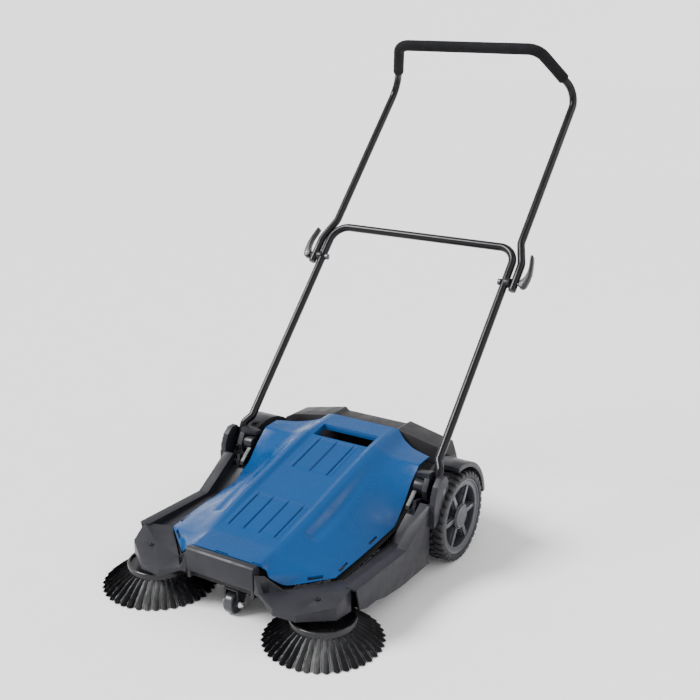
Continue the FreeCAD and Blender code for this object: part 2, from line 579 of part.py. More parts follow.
def caster():
    stem = cyl_z(6, 0, CASTER_STEM_Y, 54, 88)
    top = prism_z([(-18, CASTER_STEM_Y + 14), (18, CASTER_STEM_Y + 14), (18, CASTER_Y - 8), (-18, CASTER_Y - 8)], 55, 59)
    cheeks = []
    for x0, x1 in ((-18, -14), (14, 18)):
        cheek = prism_x([(CASTER_STEM_Y + 14, 57), (CASTER_Y - 8, 57), (CASTER_Y - 11, CASTER_WHEEL_R),
                         (CASTER_Y - 6, 17), (CASTER_Y + 6, 17), (CASTER_Y + 12, CASTER_WHEEL_R)], x0, x1)
        cheeks.append(cheek.cut(cyl_x(4, x0 - 1, x1 + 1, CASTER_Y, CASTER_WHEEL_R)))
    fork = fuse([stem, top] + cheeks)
    tread = cyl_x(CASTER_WHEEL_R, -11, 11, CASTER_Y, CASTER_WHEEL_R)
    tread = tread.makeFillet(3, [e for e in tread.Edges if e.Length > 100])
    hub = cyl_x(9, -13.5, 13.5, CASTER_Y, CASTER_WHEEL_R)
    wheel_body = fuse([tread, hub]).cut(cyl_x(4 + RUN_FIT, -20, 20, CASTER_Y, CASTER_WHEEL_R))
    pin = cyl_x(4, -22, 22, CASTER_Y, CASTER_WHEEL_R)
    domes = []
    for s in (-1, 1):
        ball = Part.makeSphere(9.5, V(s * 18, CASTER_Y, CASTER_WHEEL_R))
        domes.append(ball.common(box(min(s * 18, s * 30), max(s * 18, s * 30), CASTER_Y - 20, CASTER_Y + 20, 0, 60)))
    return fork, wheel_body, fuse([pin] + domes)


# ---------------------------------------------------------------- handle
def along(start, lean, distance, x):
    """A point up a leg that leans back from upright."""
    angle = math.radians(lean)
    return V(x, start[0] + distance * math.sin(angle), start[1] + distance * math.cos(angle))


def leg_start():
    """Point near the pivot where the straight line of the leg begins."""
    return (PIVOT_Y - 10.0, PIVOT_Z + 6.0)


LEG_START = leg_start()
JOINT = along(LEG_START, LOWER_LEAN, UPPER_JOINT_AT, 0)
UPPER_JOG_X = 288.0
PIN_X = UPPER_JOG_X + TUBE_R + 12


def leaned(shape):
    """Turn a shape built upright at the origin to the leg's lean and carry it to the joint."""
    turned = shape.copy()
    turned.rotate(V(0, 0, 0), V(1, 0, 0), -LOWER_LEAN)
    turned.translate(V(0, JOINT.y, JOINT.z))
    return turned


def foot_points():
    pivot = (PIVOT_Y, PIVOT_Z)
    return [along(pivot, FOOT_LEAN, -7, PIVOT_X), along(pivot, FOOT_LEAN, FOOT_LEN, PIVOT_X),
            along(LEG_START, LOWER_LEAN, 68, LOWER_HALF)]


def lower_handle():
    right = foot_points() + [along(LEG_START, LOWER_LEAN, LOWER_LEN, LOWER_HALF)]
    left = [V(-p.x, p.y, p.z) for p in reversed(right)]
    frame = tube(right + left, [14, 14, 45, 45, 14, 14], TUBE_R, TUBE_WALL)
    frame = frame.cut(cyl_x(4, -300, 300, JOINT.y, JOINT.z))
    return frame.cut(cyl_x(BOLT_R + RUN_FIT, -320, 320, PIVOT_Y, PIVOT_Z))


def handle_plug():
    """Plug that stiffens the end of the tube where the clamp bolt passes."""
    start = along((PIVOT_Y, PIVOT_Z), FOOT_LEAN, -7, PIVOT_X)
    core = Part.makeCylinder(TUBE_R - TUBE_WALL, 34, start, along((0, 0), FOOT_LEAN, 1, 0))
    return core.cut(cyl_x(BOLT_R + RUN_FIT, 250, 300, PIVOT_Y, PIVOT_Z))


def upper_points():
    start = along(LEG_START, LOWER_LEAN, UPPER_JOINT_AT - 20, UPPER_JOG_X)
    start_yz = (start.y, start.z)
    right = [start, along(start_yz, UPPER_LEAN, 76, UPPER_JOG_X), along(start_yz, UPPER_LEAN, 134, UPPER_HALF),
             along(start_yz, UPPER_LEAN, UPPER_LEN, UPPER_HALF), V(GRIP_HALF, GRIP_Y, GRIP_Z)]
    return right


def upper_handle():
    right = upper_points()
    left = [V(-p.x, p.y, p.z) for p in reversed(right)]
    frame = tube(right + left, [40, 40, 48, 42, 42, 48, 40, 40], TUBE_R, TUBE_WALL)
    return frame.cut(cyl_x(4 + RUN_FIT, -320, 320, JOINT.y, JOINT.z))


def foam_grip():
    right = upper_points()
    corner = right[-1]
    down = right[-2] - corner
    end = corner + down * 0.66
    points = [end, corner, V(-corner.x, corner.y, corner.z), V(-end.x, end.y, end.z)]
    path = bent_path(points, [42, 42])
    return swept(path, FOAM_R).cut(swept(path, TUBE_R))


def pivot_bolt():
    shank = cyl_x(BOLT_R, 225, LOBE_X0 + LOBE_W - 2, PIVOT_Y, PIVOT_Z)
    return shank.fuse(cyl_x(9, LOBE_X0 + LOBE_W - 5, LOBE_X0 + LOBE_W - 1, PIVOT_Y, PIVOT_Z))


def clamp_knob():
    """Round clamp knob with a lever that points forward and down."""
    body = cyl_x(KNOB_R, 227, CHEEK_X0 - GAP, PIVOT_Y, PIVOT_Z)
    body = body.makeFillet(3, [e for e in body.Edges if e.Length > 100 and e.BoundBox.XMin < 230])
    lever = prism_x([(0, -7), (0, 7), (-58, 4.5), (-66, 0), (-58, -4.5)], 228, 238)
    lever.rotate(V(228, 0, 0), V(1, 0, 0), 36)
    lever.translate(V(0, PIVOT_Y, PIVOT_Z))
    return fuse([body, lever]).cut(cyl_x(BOLT_R + RUN_FIT, 220, 260, PIVOT_Y, PIVOT_Z))


def joint_bolt():
    """Bolt through both handle tubes, with a nut inside and a cross pin for the cam lever outside."""
    shank = cyl_x(4, LOWER_HALF - TUBE_R - 8, PIN_X + 3, JOINT.y, JOINT.z)
    nut = cyl_x(8, LOWER_HALF - TUBE_R - 7, LOWER_HALF - TUBE_R, JOINT.y, JOINT.z)
    pin = leaned(Part.makeCylinder(2.5, 21, V(PIN_X, -10.5, 0), V(0, 1, 0)))
    return fuse([shank, nut, pin])


def joint_saddle():
    """Shaped washer between the two tubes."""
    x0 = LOWER_HALF
    body = cyl_x(12, x0, UPPER_JOG_X - TUBE_R - GAP, JOINT.y, JOINT.z)
    body = body.cut(Part.makeCylinder(TUBE_R, 80, along((JOINT.y, JOINT.z), LOWER_LEAN, -40, x0),
                                      along((0, 0), LOWER_LEAN, 1, 0)))
    return body.cut(cyl_x(4, x0 - 1, UPPER_JOG_X + 1, JOINT.y, JOINT.z))


def quick_lever():
    """Cam lever on the joint bolt, lying along the tube and curving away at its tip."""
    cam = Part.makeCylinder(10, 20, V(PIN_X, -10, 0), V(0, 1, 0))
    outline = [(-7, 4), (8, 0), (12, 24), (11, 44), (6, 66), (1, 82), (-4, 80), (0, 62), (3, 44), (1, 24)]
    wire = Part.makePolygon([V(PIN_X + x, -8, z) for x, z in outline + outline[:1]])
    lever = fuse([cam, Part.Face(wire).extrude(V(0, 16, 0))])
    lever = lever.cut(Part.makeCylinder(11.5, 8.6, V(PIN_X, -4.3, 0), V(0, 1, 0)))
    return leaned(lever.cut(Part.makeCylinder(2.5 + RUN_FIT, 30, V(PIN_X, -15, 0), V(0, 1, 0))))


# ---------------------------------------------------------------- waste container
def container_body(inset):
    """The container's outer shape, or its hollow when inset by the wall."""
    across = [-238, -213, -94, -84, 84, 94, 213, 238]
    top_front = [222, 235, 259, 251, 251, 259, 235, 222]
    rear_top_y = [100, 130, 132, 132, 132, 132, 130, 100]
    rear_top_z = [217, 234, 259, 251, 251, 259, 234, 217]
    rear_low_y = [160, 190, 196, 196, 196, 196, 190, 160]
    xs = [x - math.copysign(inset, x) for x in across]
    front_top = [V(x, CONTAINER_FRONT + inset, z - inset) for x, z in zip(xs, top_front)]
    rear_top = [V(x, y - inset, z - inset) for x, y, z in zip(xs, rear_top_y, rear_top_z)]
    rear_low = [V(x, y - inset, CONTAINER_BOTTOM + inset) for x, y in zip(xs, rear_low_y)]
    front_low = [V(x, CONTAINER_FRONT + inset, CONTAINER_BOTTOM + inset) for x in xs]
    rings = [front_top, rear_top, rear_low, front_low]
    triangles = []
    for first, second in zip(rings, rings[1:] + rings[:1]):
        for i in range(len(xs) - 1):
            triangles += quad(first[i], first[i + 1], second[i + 1], second[i])
    for i in (0, len(xs) - 1):
        triangles += quad(front_top[i], rear_top[i], rear_low[i], front_low[i])
    return faceted(triangles)


def waste_container():
    shell = container_body(0).cut(container_body(CONTAINER_WALL))
    mouth = box(-222, 222, CONTAINER_FRONT - 1, CONTAINER_FRONT + CONTAINER_WALL + 1, CONTAINER_BOTTOM + 8, 180)
    return shell.cut(mouth)


def container_grip():
    """Bow handle standing on the container's rear wall."""
    points = [V(-70, 128, 205), V(-70, 178, 205), V(70, 178, 205), V(70, 128, 205)]
    bow = swept(bent_path(points, [14, 14]), 7)
    return bow.cut(container_body(0))


# ---------------------------------------------------------------- assembly
def build_chassis():
    both("side_frame", side_frame())
    shapes["brush_housing"] = brush_housing()
    shapes["hood"] = hood()
    shapes["front_bar"] = front_bar()
    shapes["hood_clips"] = edge_bars(CLIP_LEN, CLIP_W, 8, -1.5)
    ramp = [(18, 4), (62, 40), (62, 44), (58, 44), (15, 8)]
    shapes["dirt_ramp"] = prism_x(ramp, -WALL_IN, WALL_IN)
    screws = [screw(s * SCREW_X, SCREW_Y, SCREW_Z) for s in (-1, 1)]
    shapes["frame_screws"] = Part.makeCompound(screws)
    both("wheel_axle", cyl_x(AXLE_R, 230, WHEEL_OUT - 9, 0, WHEEL_R))
    clip = cyl_x(13, WHEEL_OUT - 11.7, WHEEL_OUT - 10.2, 0, WHEEL_R)
    clip = clip.cut(cyl_x(AXLE_R, 290, 310, 0, WHEEL_R))
    shapes["axle_clips"] = Part.makeCompound([clip, mirrored(clip)])
    bush = cyl_x(12, WALL_IN, WALL_OUT + 2, ROLLER_Y, ROLLER_Z)
    bush = bush.cut(cyl_x(AXLE_R + RUN_FIT, 230, 260, ROLLER_Y, ROLLER_Z))
    shapes["roller_bushes"] = Part.makeCompound([bush, mirrored(bush)])
    sleeve = cyl_z(11, SIDE_BRUSH_X, SIDE_BRUSH_Y, 82, 104)
    sleeve = sleeve.cut(cyl_z(SPINDLE_R + RUN_FIT, SIDE_BRUSH_X, SIDE_BRUSH_Y, 80, 103))
    shapes["spindle_bushes"] = Part.makeCompound([sleeve, mirrored(sleeve)])
    both("belt", belt())
    both("pivot_bolt", pivot_bolt())
    socket = cyl_z(10, 0, CASTER_STEM_Y, 60, 90)
    shapes["caster_socket"] = socket.cut(cyl_z(6 + RUN_FIT, 0, CASTER_STEM_Y, 59, 89))


def build_drive():
    tyre, rim, cap = wheel()
    both("wheel_tyre", tyre)
    both("wheel_rim", rim)
    both("hub_cap", cap)
    both("ring_gear", ring_gear())
    shaft, core, bristles = roller()
    shapes["roller_shaft"] = shaft
    shapes["roller_core"] = core
    shapes["roller_bristles"] = bristles
    gear = pinion()
    shapes["pinion_right"] = gear.cut(cyl_x(AXLE_R, 240, 300, ROLLER_Y, ROLLER_Z))
    shapes["pinion_left"] = mirrored(gear.cut(cyl_x(AXLE_R + RUN_FIT, 240, 300, ROLLER_Y, ROLLER_Z)))
    pulley = drive_pulley()
    shapes["drive_pulleys"] = Part.makeCompound([pulley, mirrored(pulley)])
    hub, tufts, spindle = side_brush()
    both("side_brush_hub", hub)
    both("side_brush_bristles", tufts)
    both("side_brush_spindle", spindle)
    both("spindle_pulley", spindle_pulley())
    fork, wheel_body, pin = caster()
    shapes["caster_fork"] = fork
    shapes["caster_wheel"] = wheel_body
    shapes["caster_axle"] = pin


def build_handle():
    shapes["lower_handle_frame"] = lower_handle()
    shapes["upper_handle_frame"] = upper_handle()
    shapes["foam_grip"] = foam_grip()
    both("handle_plug", handle_plug())
    both("clamp_knob", clamp_knob())
    bolt = joint_bolt()
    shapes["joint_bolts"] = Part.makeCompound([bolt, mirrored(bolt)])
    saddle = joint_saddle()
    shapes["joint_saddles"] = Part.makeCompound([saddle, mirrored(saddle)])
    both("quick_lever", quick_lever())


build_chassis()
build_drive()
build_handle()
shapes["waste_container"] = waste_container()
shapes["container_grip"] = container_grip()

whole = FreeCAD.BoundBox()
for shape in shapes.values():
    whole.add(shape.optimalBoundingBox(False, False))
shift = V(-(whole.XMin + whole.XMax) / 2, -(whole.YMin + whole.YMax) / 2, -whole.ZMin)

os.makedirs("parts", exist_ok=True)
for name, shape in sorted(shapes.items()):
    moved = shape.copy()
    moved.translate(shift)
    moved.exportStep(os.path.join("parts", name + ".step"))
    print(name, len(moved.Solids), "solids", round(moved.Volume / 1000.0, 1), "cm3", moved.isValid())
print("size", whole.XLength, whole.YLength, whole.ZLength)
points = {
    "wheel": (WHEEL_OUT, 0, WHEEL_R), "roller": (0, ROLLER_Y, ROLLER_Z),
    "side_brush": (SIDE_BRUSH_X, SIDE_BRUSH_Y, SIDE_HUB_Z), "caster_stem": (0, CASTER_STEM_Y, 60),
    "caster_axle": (0, CASTER_Y, CASTER_WHEEL_R), "pivot": (PIVOT_X, PIVOT_Y, PIVOT_Z),
    "joint": (UPPER_JOG_X, JOINT.y, JOINT.z), "lever_pin": (PIN_X, JOINT.y, JOINT.z),
}
shifted = {key: [round(a + b, 4) for a, b in zip(value, shift)] for key, value in points.items()}
print(json.dumps(shifted))
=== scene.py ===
import json
import logging
import math
import random
from dataclasses import dataclass, field
from enum import Enum
from typing import Callable, Sequence

import bmesh
import bpy
import numpy as np
from mathutils import Matrix, Vector


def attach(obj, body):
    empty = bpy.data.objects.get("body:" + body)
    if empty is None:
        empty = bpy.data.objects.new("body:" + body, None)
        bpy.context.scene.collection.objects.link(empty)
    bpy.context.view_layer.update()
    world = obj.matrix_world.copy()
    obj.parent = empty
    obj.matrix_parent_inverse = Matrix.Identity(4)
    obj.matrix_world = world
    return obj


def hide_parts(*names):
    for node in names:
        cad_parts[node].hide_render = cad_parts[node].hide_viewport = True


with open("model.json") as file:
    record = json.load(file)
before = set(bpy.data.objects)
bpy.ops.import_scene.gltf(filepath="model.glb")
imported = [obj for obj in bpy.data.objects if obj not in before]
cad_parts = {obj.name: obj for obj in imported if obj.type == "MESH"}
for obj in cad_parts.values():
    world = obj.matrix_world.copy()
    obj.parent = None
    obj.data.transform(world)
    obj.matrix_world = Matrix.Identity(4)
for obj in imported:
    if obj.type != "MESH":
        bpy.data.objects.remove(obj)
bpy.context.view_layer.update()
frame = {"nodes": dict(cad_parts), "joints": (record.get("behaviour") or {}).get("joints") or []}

logging.basicConfig(level=logging.INFO, format="%(message)s")
LOG = logging.getLogger("sweeper")

MM = 0.001
SHARP_ANGLE = math.radians(32)
Outline = Sequence[tuple[float, float]]
Tree = bpy.types.NodeTree
Socket = bpy.types.NodeSocket


def axle_offset() -> float:
    """Y of the wheel axle in the frame, in metres; the pieces are drawn from the axle.

    Returns:
        The Y coordinate of the driving wheels' joint.
    """
    for joint in frame["joints"]:
        if joint["name"] == "wheel_right_spin":
            return joint["pos_m"][1]
    raise ValueError("the frame has no driving wheel")


TO_FRAME = Matrix.Translation((0.0, axle_offset(), 0.0)) @ Matrix.Scale(MM, 4)


# ---------------------------------------------------------------- node trees
def add_node(tree: Tree, kind: str, inputs: dict, **settings: str) -> bpy.types.Node:
    """A new node with its inputs set or linked.

    Args:
        tree: The tree that it goes into.
        kind: The kind of node.
        inputs: A value or a socket for each input, by the input's name or number.
        settings: The node's own settings, which are set first.

    Returns:
        The node.
    """
    node = tree.nodes.new(kind)
    for key, value in settings.items():
        setattr(node, key, value)
    for key, value in inputs.items():
        if isinstance(value, Socket):
            tree.links.new(value, node.inputs[key])
        else:
            node.inputs[key].default_value = value
    return node


def maths(tree: Tree, operation: str, first: Socket | float, second: Socket | float) -> Socket:
    """The result of one operation on two numbers or sockets."""
    return add_node(tree, "ShaderNodeMath", {0: first, 1: second}, operation=operation).outputs[0]


# ---------------------------------------------------------------- finishes
class Grain(Enum):
    """How the surface of a finish is broken up."""

    MOULDED = "spark-eroded plastic"
    PAINTED = "powder-coated tube"
    RUBBER = "dusty rubber"
    FOAM = "open-cell foam"
    BRISTLE = "drawn bristle"
    METAL = "brushed steel"


@dataclass(frozen=True)
class Finish:
    """One material: its colour, gloss, grain and wear.

    The colour is linear. Mottle is the share by which the colour wanders, and wear is how
    far the outer edges go towards the edge colour.
    """

    name: str
    color: tuple[float, float, float]
    roughness: float
    grain: Grain = Grain.MOULDED
    mottle: float = 0.08
    bump: float = 0.08
    wear: float = 0.0
    metallic: float = 0.0
    coat: float = 0.0
    specular: float = 0.5

    def material(self) -> bpy.types.Material:
        """The Blender material of this finish, made once.

        Returns:
            The material with its node tree.
        """
        title = f"{self.name}_finish"
        known = bpy.data.materials.get(title)
        if known:
            return known
        material = bpy.data.materials.new(title)
        material.use_nodes = True
        material.diffuse_color = (*self.color, 1.0)
        tree = material.node_tree
        place = tree.nodes.new("ShaderNodeTexCoord").outputs["Object"]
        tone = self._shade(tree, self._noise(tree, place, 11.0, 4.0))
        if self.wear:
            tone = self._worn(tree, tone, place)
        # Bristles get a painted highlight that fades out from their roots.
        if self.grain is Grain.BRISTLE:
            tone = self._root_highlight(tree, tone)
        spread = 0.04 if self.grain is Grain.PAINTED else 0.09
        patchy = self._noise(tree, place, 38.0, 5.0)
        rough = self._ranged(tree, patchy, self.roughness - spread, self.roughness + spread)

        shader = tree.nodes["Principled BSDF"].inputs
        shader["Metallic"].default_value = self.metallic
        shader["Coat Weight"].default_value = self.coat
        shader["Coat Roughness"].default_value = 0.25
        shader["Specular IOR Level"].default_value = self.specular
        tree.links.new(tone, shader["Base Color"])
        tree.links.new(rough, shader["Roughness"])
        tree.links.new(self._relief(tree, place), shader["Normal"])
        return material

    @staticmethod
    def _noise(tree: Tree, place: Socket, scale: float, detail: float) -> Socket:
        """Noise at the given scale per metre."""
        inputs = {"Scale": scale, "Detail": detail, "Vector": place}
        return add_node(tree, "ShaderNodeTexNoise", inputs).outputs["Fac"]

    @staticmethod
    def _ranged(tree: Tree, value: Socket, low: float, high: float) -> Socket:
        """The value's middle range stretched from low to high."""
        inputs = {"From Min": 0.3, "From Max": 0.7, "To Min": max(low, 0.03), "To Max": high, "Value": value}
        return add_node(tree, "ShaderNodeMapRange", inputs).outputs["Result"]

    @staticmethod
    def _mix(tree: Tree, factor: Socket, first: Socket | tuple, second: Socket | tuple) -> Socket:
        """A mix of two colours or colour sockets."""
        inputs = {"Factor": factor, 6: first, 7: second}
        return add_node(tree, "ShaderNodeMix", inputs, data_type="RGBA").outputs[2]

    def _shade(self, tree: Tree, factor: Socket) -> Socket:
        """The base colour wandering between a darker and a lighter tone of itself.

        Args:
            tree: The material's tree.
            factor: The noise that it wanders with.

        Returns:
            The colour.
        """
        dark = tuple(c * (1.0 - self.mottle) for c in self.color) + (1.0,)
        light = tuple(min(c * (1.0 + self.mottle), 1.0) for c in self.color) + (1.0,)
        return self._mix(tree, self._ranged(tree, factor, 0.0, 1.0), dark, light)

    def _worn(self, tree: Tree, tone: Socket, place: Socket) -> Socket:
        """Lighter, broken lines along the outer edges, from the mesh's wear values.

        Args:
            tree: The material's tree.
            tone: The colour away from the edges.
            place: The place on the piece.

        Returns:
            The colour with its worn edges.
        """
        edge = add_node(tree, "ShaderNodeAttribute", {}, attribute_name="wear").outputs["Fac"]
        patch = self._ranged(tree, self._noise(tree, place, 60.0, 6.0), 0.0, 1.0)
        share = maths(tree, "MULTIPLY", maths(tree, "MULTIPLY", edge, patch), self.wear)
        pale = tuple(min(c * 1.6 + 0.05, 1.0) for c in self.color) + (1.0,)
        return self._mix(tree, share, tone, pale)

    def _root_highlight(self, tree: Tree, tone: Socket) -> Socket:
        """Bristles with a painted highlight near where they leave the hub, stronger on some strands than on others.

        Args:
            tree: The material's tree.
            tone: The colour at the tips.

        Returns:
            The colour along the bristles, with the painted root highlight.
        """
        reach = add_node(tree, "ShaderNodeAttribute", {}, attribute_name="reach").outputs["Fac"]
        root_highlight_share = add_node(tree, "ShaderNodeAttribute", {}, attribute_name="root_highlight_share").outputs["Fac"]
        # Painted highlight: grey at the root, fading to the tip colour over the first part of each strand.
        inputs = {"From Max": 0.45, "To Min": 0.55, "To Max": 0.0, "Value": reach}
        root = add_node(tree, "ShaderNodeMapRange", inputs).outputs["Result"]
        return self._mix(tree, maths(tree, "MULTIPLY", root, root_highlight_share), tone, (0.05, 0.05, 0.055, 1.0))

    def _relief(self, tree: Tree, place: Socket) -> Socket:
        """The normal of the finish's fine relief.

        Args:
            tree: The material's tree.
            place: The place on the piece.

        Returns:
            The normal.
        """
        if self.grain is Grain.FOAM:
            cells = add_node(tree, "ShaderNodeTexVoronoi", {"Scale": 420.0, "Vector": place})
            height = cells.outputs["Distance"]
        elif self.grain is Grain.METAL:
            stretched = add_node(tree, "ShaderNodeMapping", {"Scale": (60.0, 900.0, 900.0), "Vector": place})
            height = self._noise(tree, stretched.outputs["Vector"], 1.0, 3.0)
        else:
            scales = {Grain.MOULDED: 900.0, Grain.PAINTED: 240.0, Grain.RUBBER: 520.0, Grain.BRISTLE: 300.0}
            height = self._noise(tree, place, scales[self.grain], 4.0)
        inputs = {"Strength": self.bump, "Distance": 0.001, "Height": height}
        return add_node(tree, "ShaderNodeBump", inputs).outputs["Normal"]


HOOD_BLUE = Finish("hood_blue", (0.0010, 0.043, 0.150), 0.30, mottle=0.04, bump=0.012, specular=0.22)
BODY_BLACK = Finish("body_black", (0.012, 0.012, 0.016), 0.42,
                    mottle=0.10, bump=0.05, wear=0.22, specular=0.26)
LID_GREY = Finish("lid_grey", (0.018, 0.017, 0.019), 0.48,
                  mottle=0.10, bump=0.06, wear=0.20, specular=0.26)
TRIM_BLACK = Finish("trim_black", (0.006, 0.006, 0.008), 0.34,
                    mottle=0.12, bump=0.05, wear=0.25, specular=0.28)
DISH_BLACK = Finish("dish_black", (0.006, 0.006, 0.007), 0.24,
                    mottle=0.10, bump=0.03, wear=0.30, specular=0.35)
INNER_BLACK = Finish("inner_black", (0.012, 0.011, 0.012), 0.62, mottle=0.15, bump=0.10, specular=0.3)
RIM_GREY = Finish("rim_grey", (0.036, 0.038, 0.046), 0.32, mottle=0.10, bump=0.05, wear=0.45)
HUB_GREY = Finish("hub_grey", (0.028, 0.029, 0.036), 0.38, mottle=0.08, bump=0.06, wear=0.35)
TYRE_RUBBER = Finish("tyre_rubber", (0.013, 0.013, 0.016), 0.58, Grain.RUBBER, 0.20, 0.14, 0.25, specular=0.3)
GEAR_GREY = Finish("gear_grey", (0.20, 0.20, 0.19), 0.45, mottle=0.06, bump=0.05, wear=0.2)
BUSH_WHITE = Finish("bush_white", (0.55, 0.54, 0.50), 0.40, mottle=0.05, bump=0.03)
BELT_RUBBER = Finish("belt_rubber", (0.060, 0.035, 0.022), 0.60, Grain.RUBBER, 0.15, 0.12)
RAMP_RUBBER = Finish("ramp_rubber", (0.026, 0.026, 0.027), 0.72, Grain.RUBBER, 0.20, 0.15)
STEEL = Finish("bright_steel", (0.58, 0.58, 0.57), 0.28, Grain.METAL, 0.06, 0.10, metallic=1.0)
DARK_STEEL = Finish("dark_steel", (0.10, 0.10, 0.11), 0.36, Grain.METAL, 0.10, 0.10, metallic=1.0)
SCREW_BLACK = Finish("screw_black", (0.020, 0.020, 0.022), 0.30, Grain.METAL, 0.10, 0.08, metallic=0.6)
TUBE_BLACK = Finish("tube_black", (0.003, 0.003, 0.004), 0.24, Grain.PAINTED, 0.10, 0.04, specular=0.22)
FOAM_BLACK = Finish("foam_black", (0.006, 0.006, 0.007), 0.86, Grain.FOAM, 0.20, 0.5, specular=0.15)
# Its material adds a painted highlight near the bristle roots.
BRISTLE_BLACK = Finish("bristle_black", (0.003, 0.003, 0.004), 0.42, Grain.BRISTLE, 0.25, 0.05, specular=0.18)
CASTER_GREY = Finish("caster_grey", (0.026, 0.027, 0.031), 0.32, mottle=0.15, bump=0.06, wear=0.40)


# ---------------------------------------------------------------- shapes in millimetres
@dataclass
class Solid:
    """Corners and faces of a shape, in millimetres, measured from the wheel axle."""

    corners: list[Vector] = field(default_factory=list)
    faces: list[tuple[int, ...]] = field(default_factory=list)

    def add(self, other: "Solid") -> "Solid":
        """Takes another shape into this one and returns this one."""
        shift = len(self.corners)
        self.corners += other.corners
        self.faces += [tuple(i + shift for i in face) for face in other.faces]
        return self

    def turned(self, matrix: Matrix) -> "Solid":
        """A copy moved by a matrix."""
        return Solid([matrix @ corner for corner in self.corners], list(self.faces))

    def mirrored(self) -> "Solid":
        """The same shape on the machine's other side."""
        corners = [Vector((-c.x, c.y, c.z)) for c in self.corners]
        return Solid(corners, [tuple(reversed(face)) for face in self.faces])


def joined(*solids: Solid) -> Solid:
    """One shape that holds all the given ones."""
    whole = Solid()
    for solid in solids:
        whole.add(solid)
    return whole


def prism(outline: Outline, axis: str, start: float, end: float) -> Solid:
    """A straight solid with the given outline.

    Args:
        outline: Corners in the two directions other than the axis, in the order x, y, z.
        axis: The letter of the direction that the outline is pulled along.
        start: Where the solid begins on the axis.
        end: Where it ends.

    Returns:
        The closed solid.
    """
    def corner(a: float, b: float, along: float) -> Vector:
        """The corner at a place on the axis."""
        return Vector({"x": (along, a, b), "y": (a, along, b), "z": (a, b, along)}[axis])

    count = len(outline)
    corners = [corner(a, b, start) for a, b in outline] + [corner(a, b, end) for a, b in outline]
    faces = [tuple(range(count)), tuple(range(2 * count - 1, count - 1, -1))]
    for i in range(count):
        after = (i + 1) % count
        faces.append((i, after, after + count, i + count))
    return Solid(corners, faces)


def lathe(outline: Outline, segments: int = 64, start: float = 0.0, turn: float = math.tau) -> Solid:
    """A closed outline of (radius, height) turned about the Z axis.

    Args:
        outline: Corners of the section; a radius of 0 lies on the axis.
        segments: Number of steps round the axis.
        start: Angle of the first section.
        turn: Angle turned through.

    Returns:
        The turned solid, open at its ends unless it goes all the way round.
    """
    count = len(outline)
    corners = []
    for k in range(segments):
        angle = start + turn * k / segments
        corners += [Vector((r * math.cos(angle), r * math.sin(angle), z)) for r, z in outline]
    faces = []
    for k in range(segments):
        here = k * count
        there = ((k + 1) % segments) * count
        for i in range(count):
            after = (i + 1) % count
            faces.append((here + i, there + i, there + after, here + after))
    return Solid(corners, faces)


def rounded(outline: Outline, radius: float, steps: int = 4) -> list[tuple[float, float]]:
    """A closed outline with each corner rounded off.

    Args:
        outline: Corners in order.
        radius: How far from a corner the rounding starts, at most.
        steps: Points on each corner's curve, less one.

    Returns:
        The corners of the rounded outline.
    """
    points = [Vector(p) for p in outline]
    result = []
    for i, corner in enumerate(points):
        before = points[i - 1] - corner
        after = points[(i + 1) % len(points)] - corner
        reach = min(radius, before.length * 0.45, after.length * 0.45)
        first = corner + before.normalized() * reach
        last = corner + after.normalized() * reach
        for step in range(steps + 1):
            t = step / steps
            p = first * (1 - t) ** 2 + corner * (2 * t * (1 - t)) + last * t ** 2
            result.append((p.x, p.y))
    return result


def bent_path(points: Sequence[Vector], radii: Sequence[float], step: float = 4.0) -> list[Vector]:
    """Points along straight runs joined by tangent arcs.

    Args:
        points: Corners of the path, in order.
        radii: Radius of the bend at each inner corner.
        step: Distance between points on a bend.

    Returns:
        The path's points, with one at each end of every run.
    """
    path = [points[0]]
    for before, corner, after, radius in zip(points, points[1:], points[2:], radii):
        back = (before - corner).normalized()
        ahead = (after - corner).normalized()
        half = back.angle(ahead) / 2
        reach = radius / math.tan(half)
        first = corner + back * reach
        centre = corner + (back + ahead).normalized() * (radius / math.sin(half))
        axis = (first - centre).cross(corner + ahead * reach - centre).normalized()
        turn = math.pi - 2 * half
        count = max(3, round(radius * turn / step))
        for k in range(count + 1):
            path.append(centre + Matrix.Rotation(turn * k / count, 4, axis) @ (first - centre))
    path.append(points[-1])
    return path


def swept(path: Sequence[Vector], radius: Callable[[float], float] | float, sides: int = 28) -> Solid:
    """A round bar along a path.

    Args:
        path: The points of the middle line.
        radius: The bar's radius, or a function of the distance along the path.
        sides: Number of sides of the round section.

    Returns:
        The closed bar.
    """
    tangents = []
    for i in range(len(path)):
        ahead = path[min(i + 1, len(path) - 1)] - path[max(i - 1, 0)]
        tangents.append(ahead.normalized())
    normal = tangents[0].orthogonal().normalized()
    corners = []
    travelled = 0.0
    for i, (point, tangent) in enumerate(zip(path, tangents)):
        travelled += (point - path[i - 1]).length if i else 0.0
        normal = (normal - tangent * normal.dot(tangent)).normalized()
        side = tangent.cross(normal)
        size = radius(travelled) if callable(radius) else radius
        for k in range(sides):
            angle = math.tau * k / sides
            corners.append(point + (normal * math.cos(angle) + side * math.sin(angle)) * size)
    faces = [tuple(range(sides - 1, -1, -1))]
    for i in range(len(path) - 1):
        here = i * sides
        for k in range(sides):
            after = (k + 1) % sides
            faces.append((here + k, here + after, here + after + sides, here + k + sides))
    last = (len(path) - 1) * sides
    faces.append(tuple(range(last, last + sides)))
    return Solid(corners, faces)


# ---------------------------------------------------------------- from shapes to pieces
def add_object(name: str, data: bpy.types.ID) -> bpy.types.Object:
    """A new object in the scene that holds a mesh, a light or a camera."""
    obj = bpy.data.objects.new(name, data)
    bpy.context.scene.collection.objects.link(obj)
    return obj


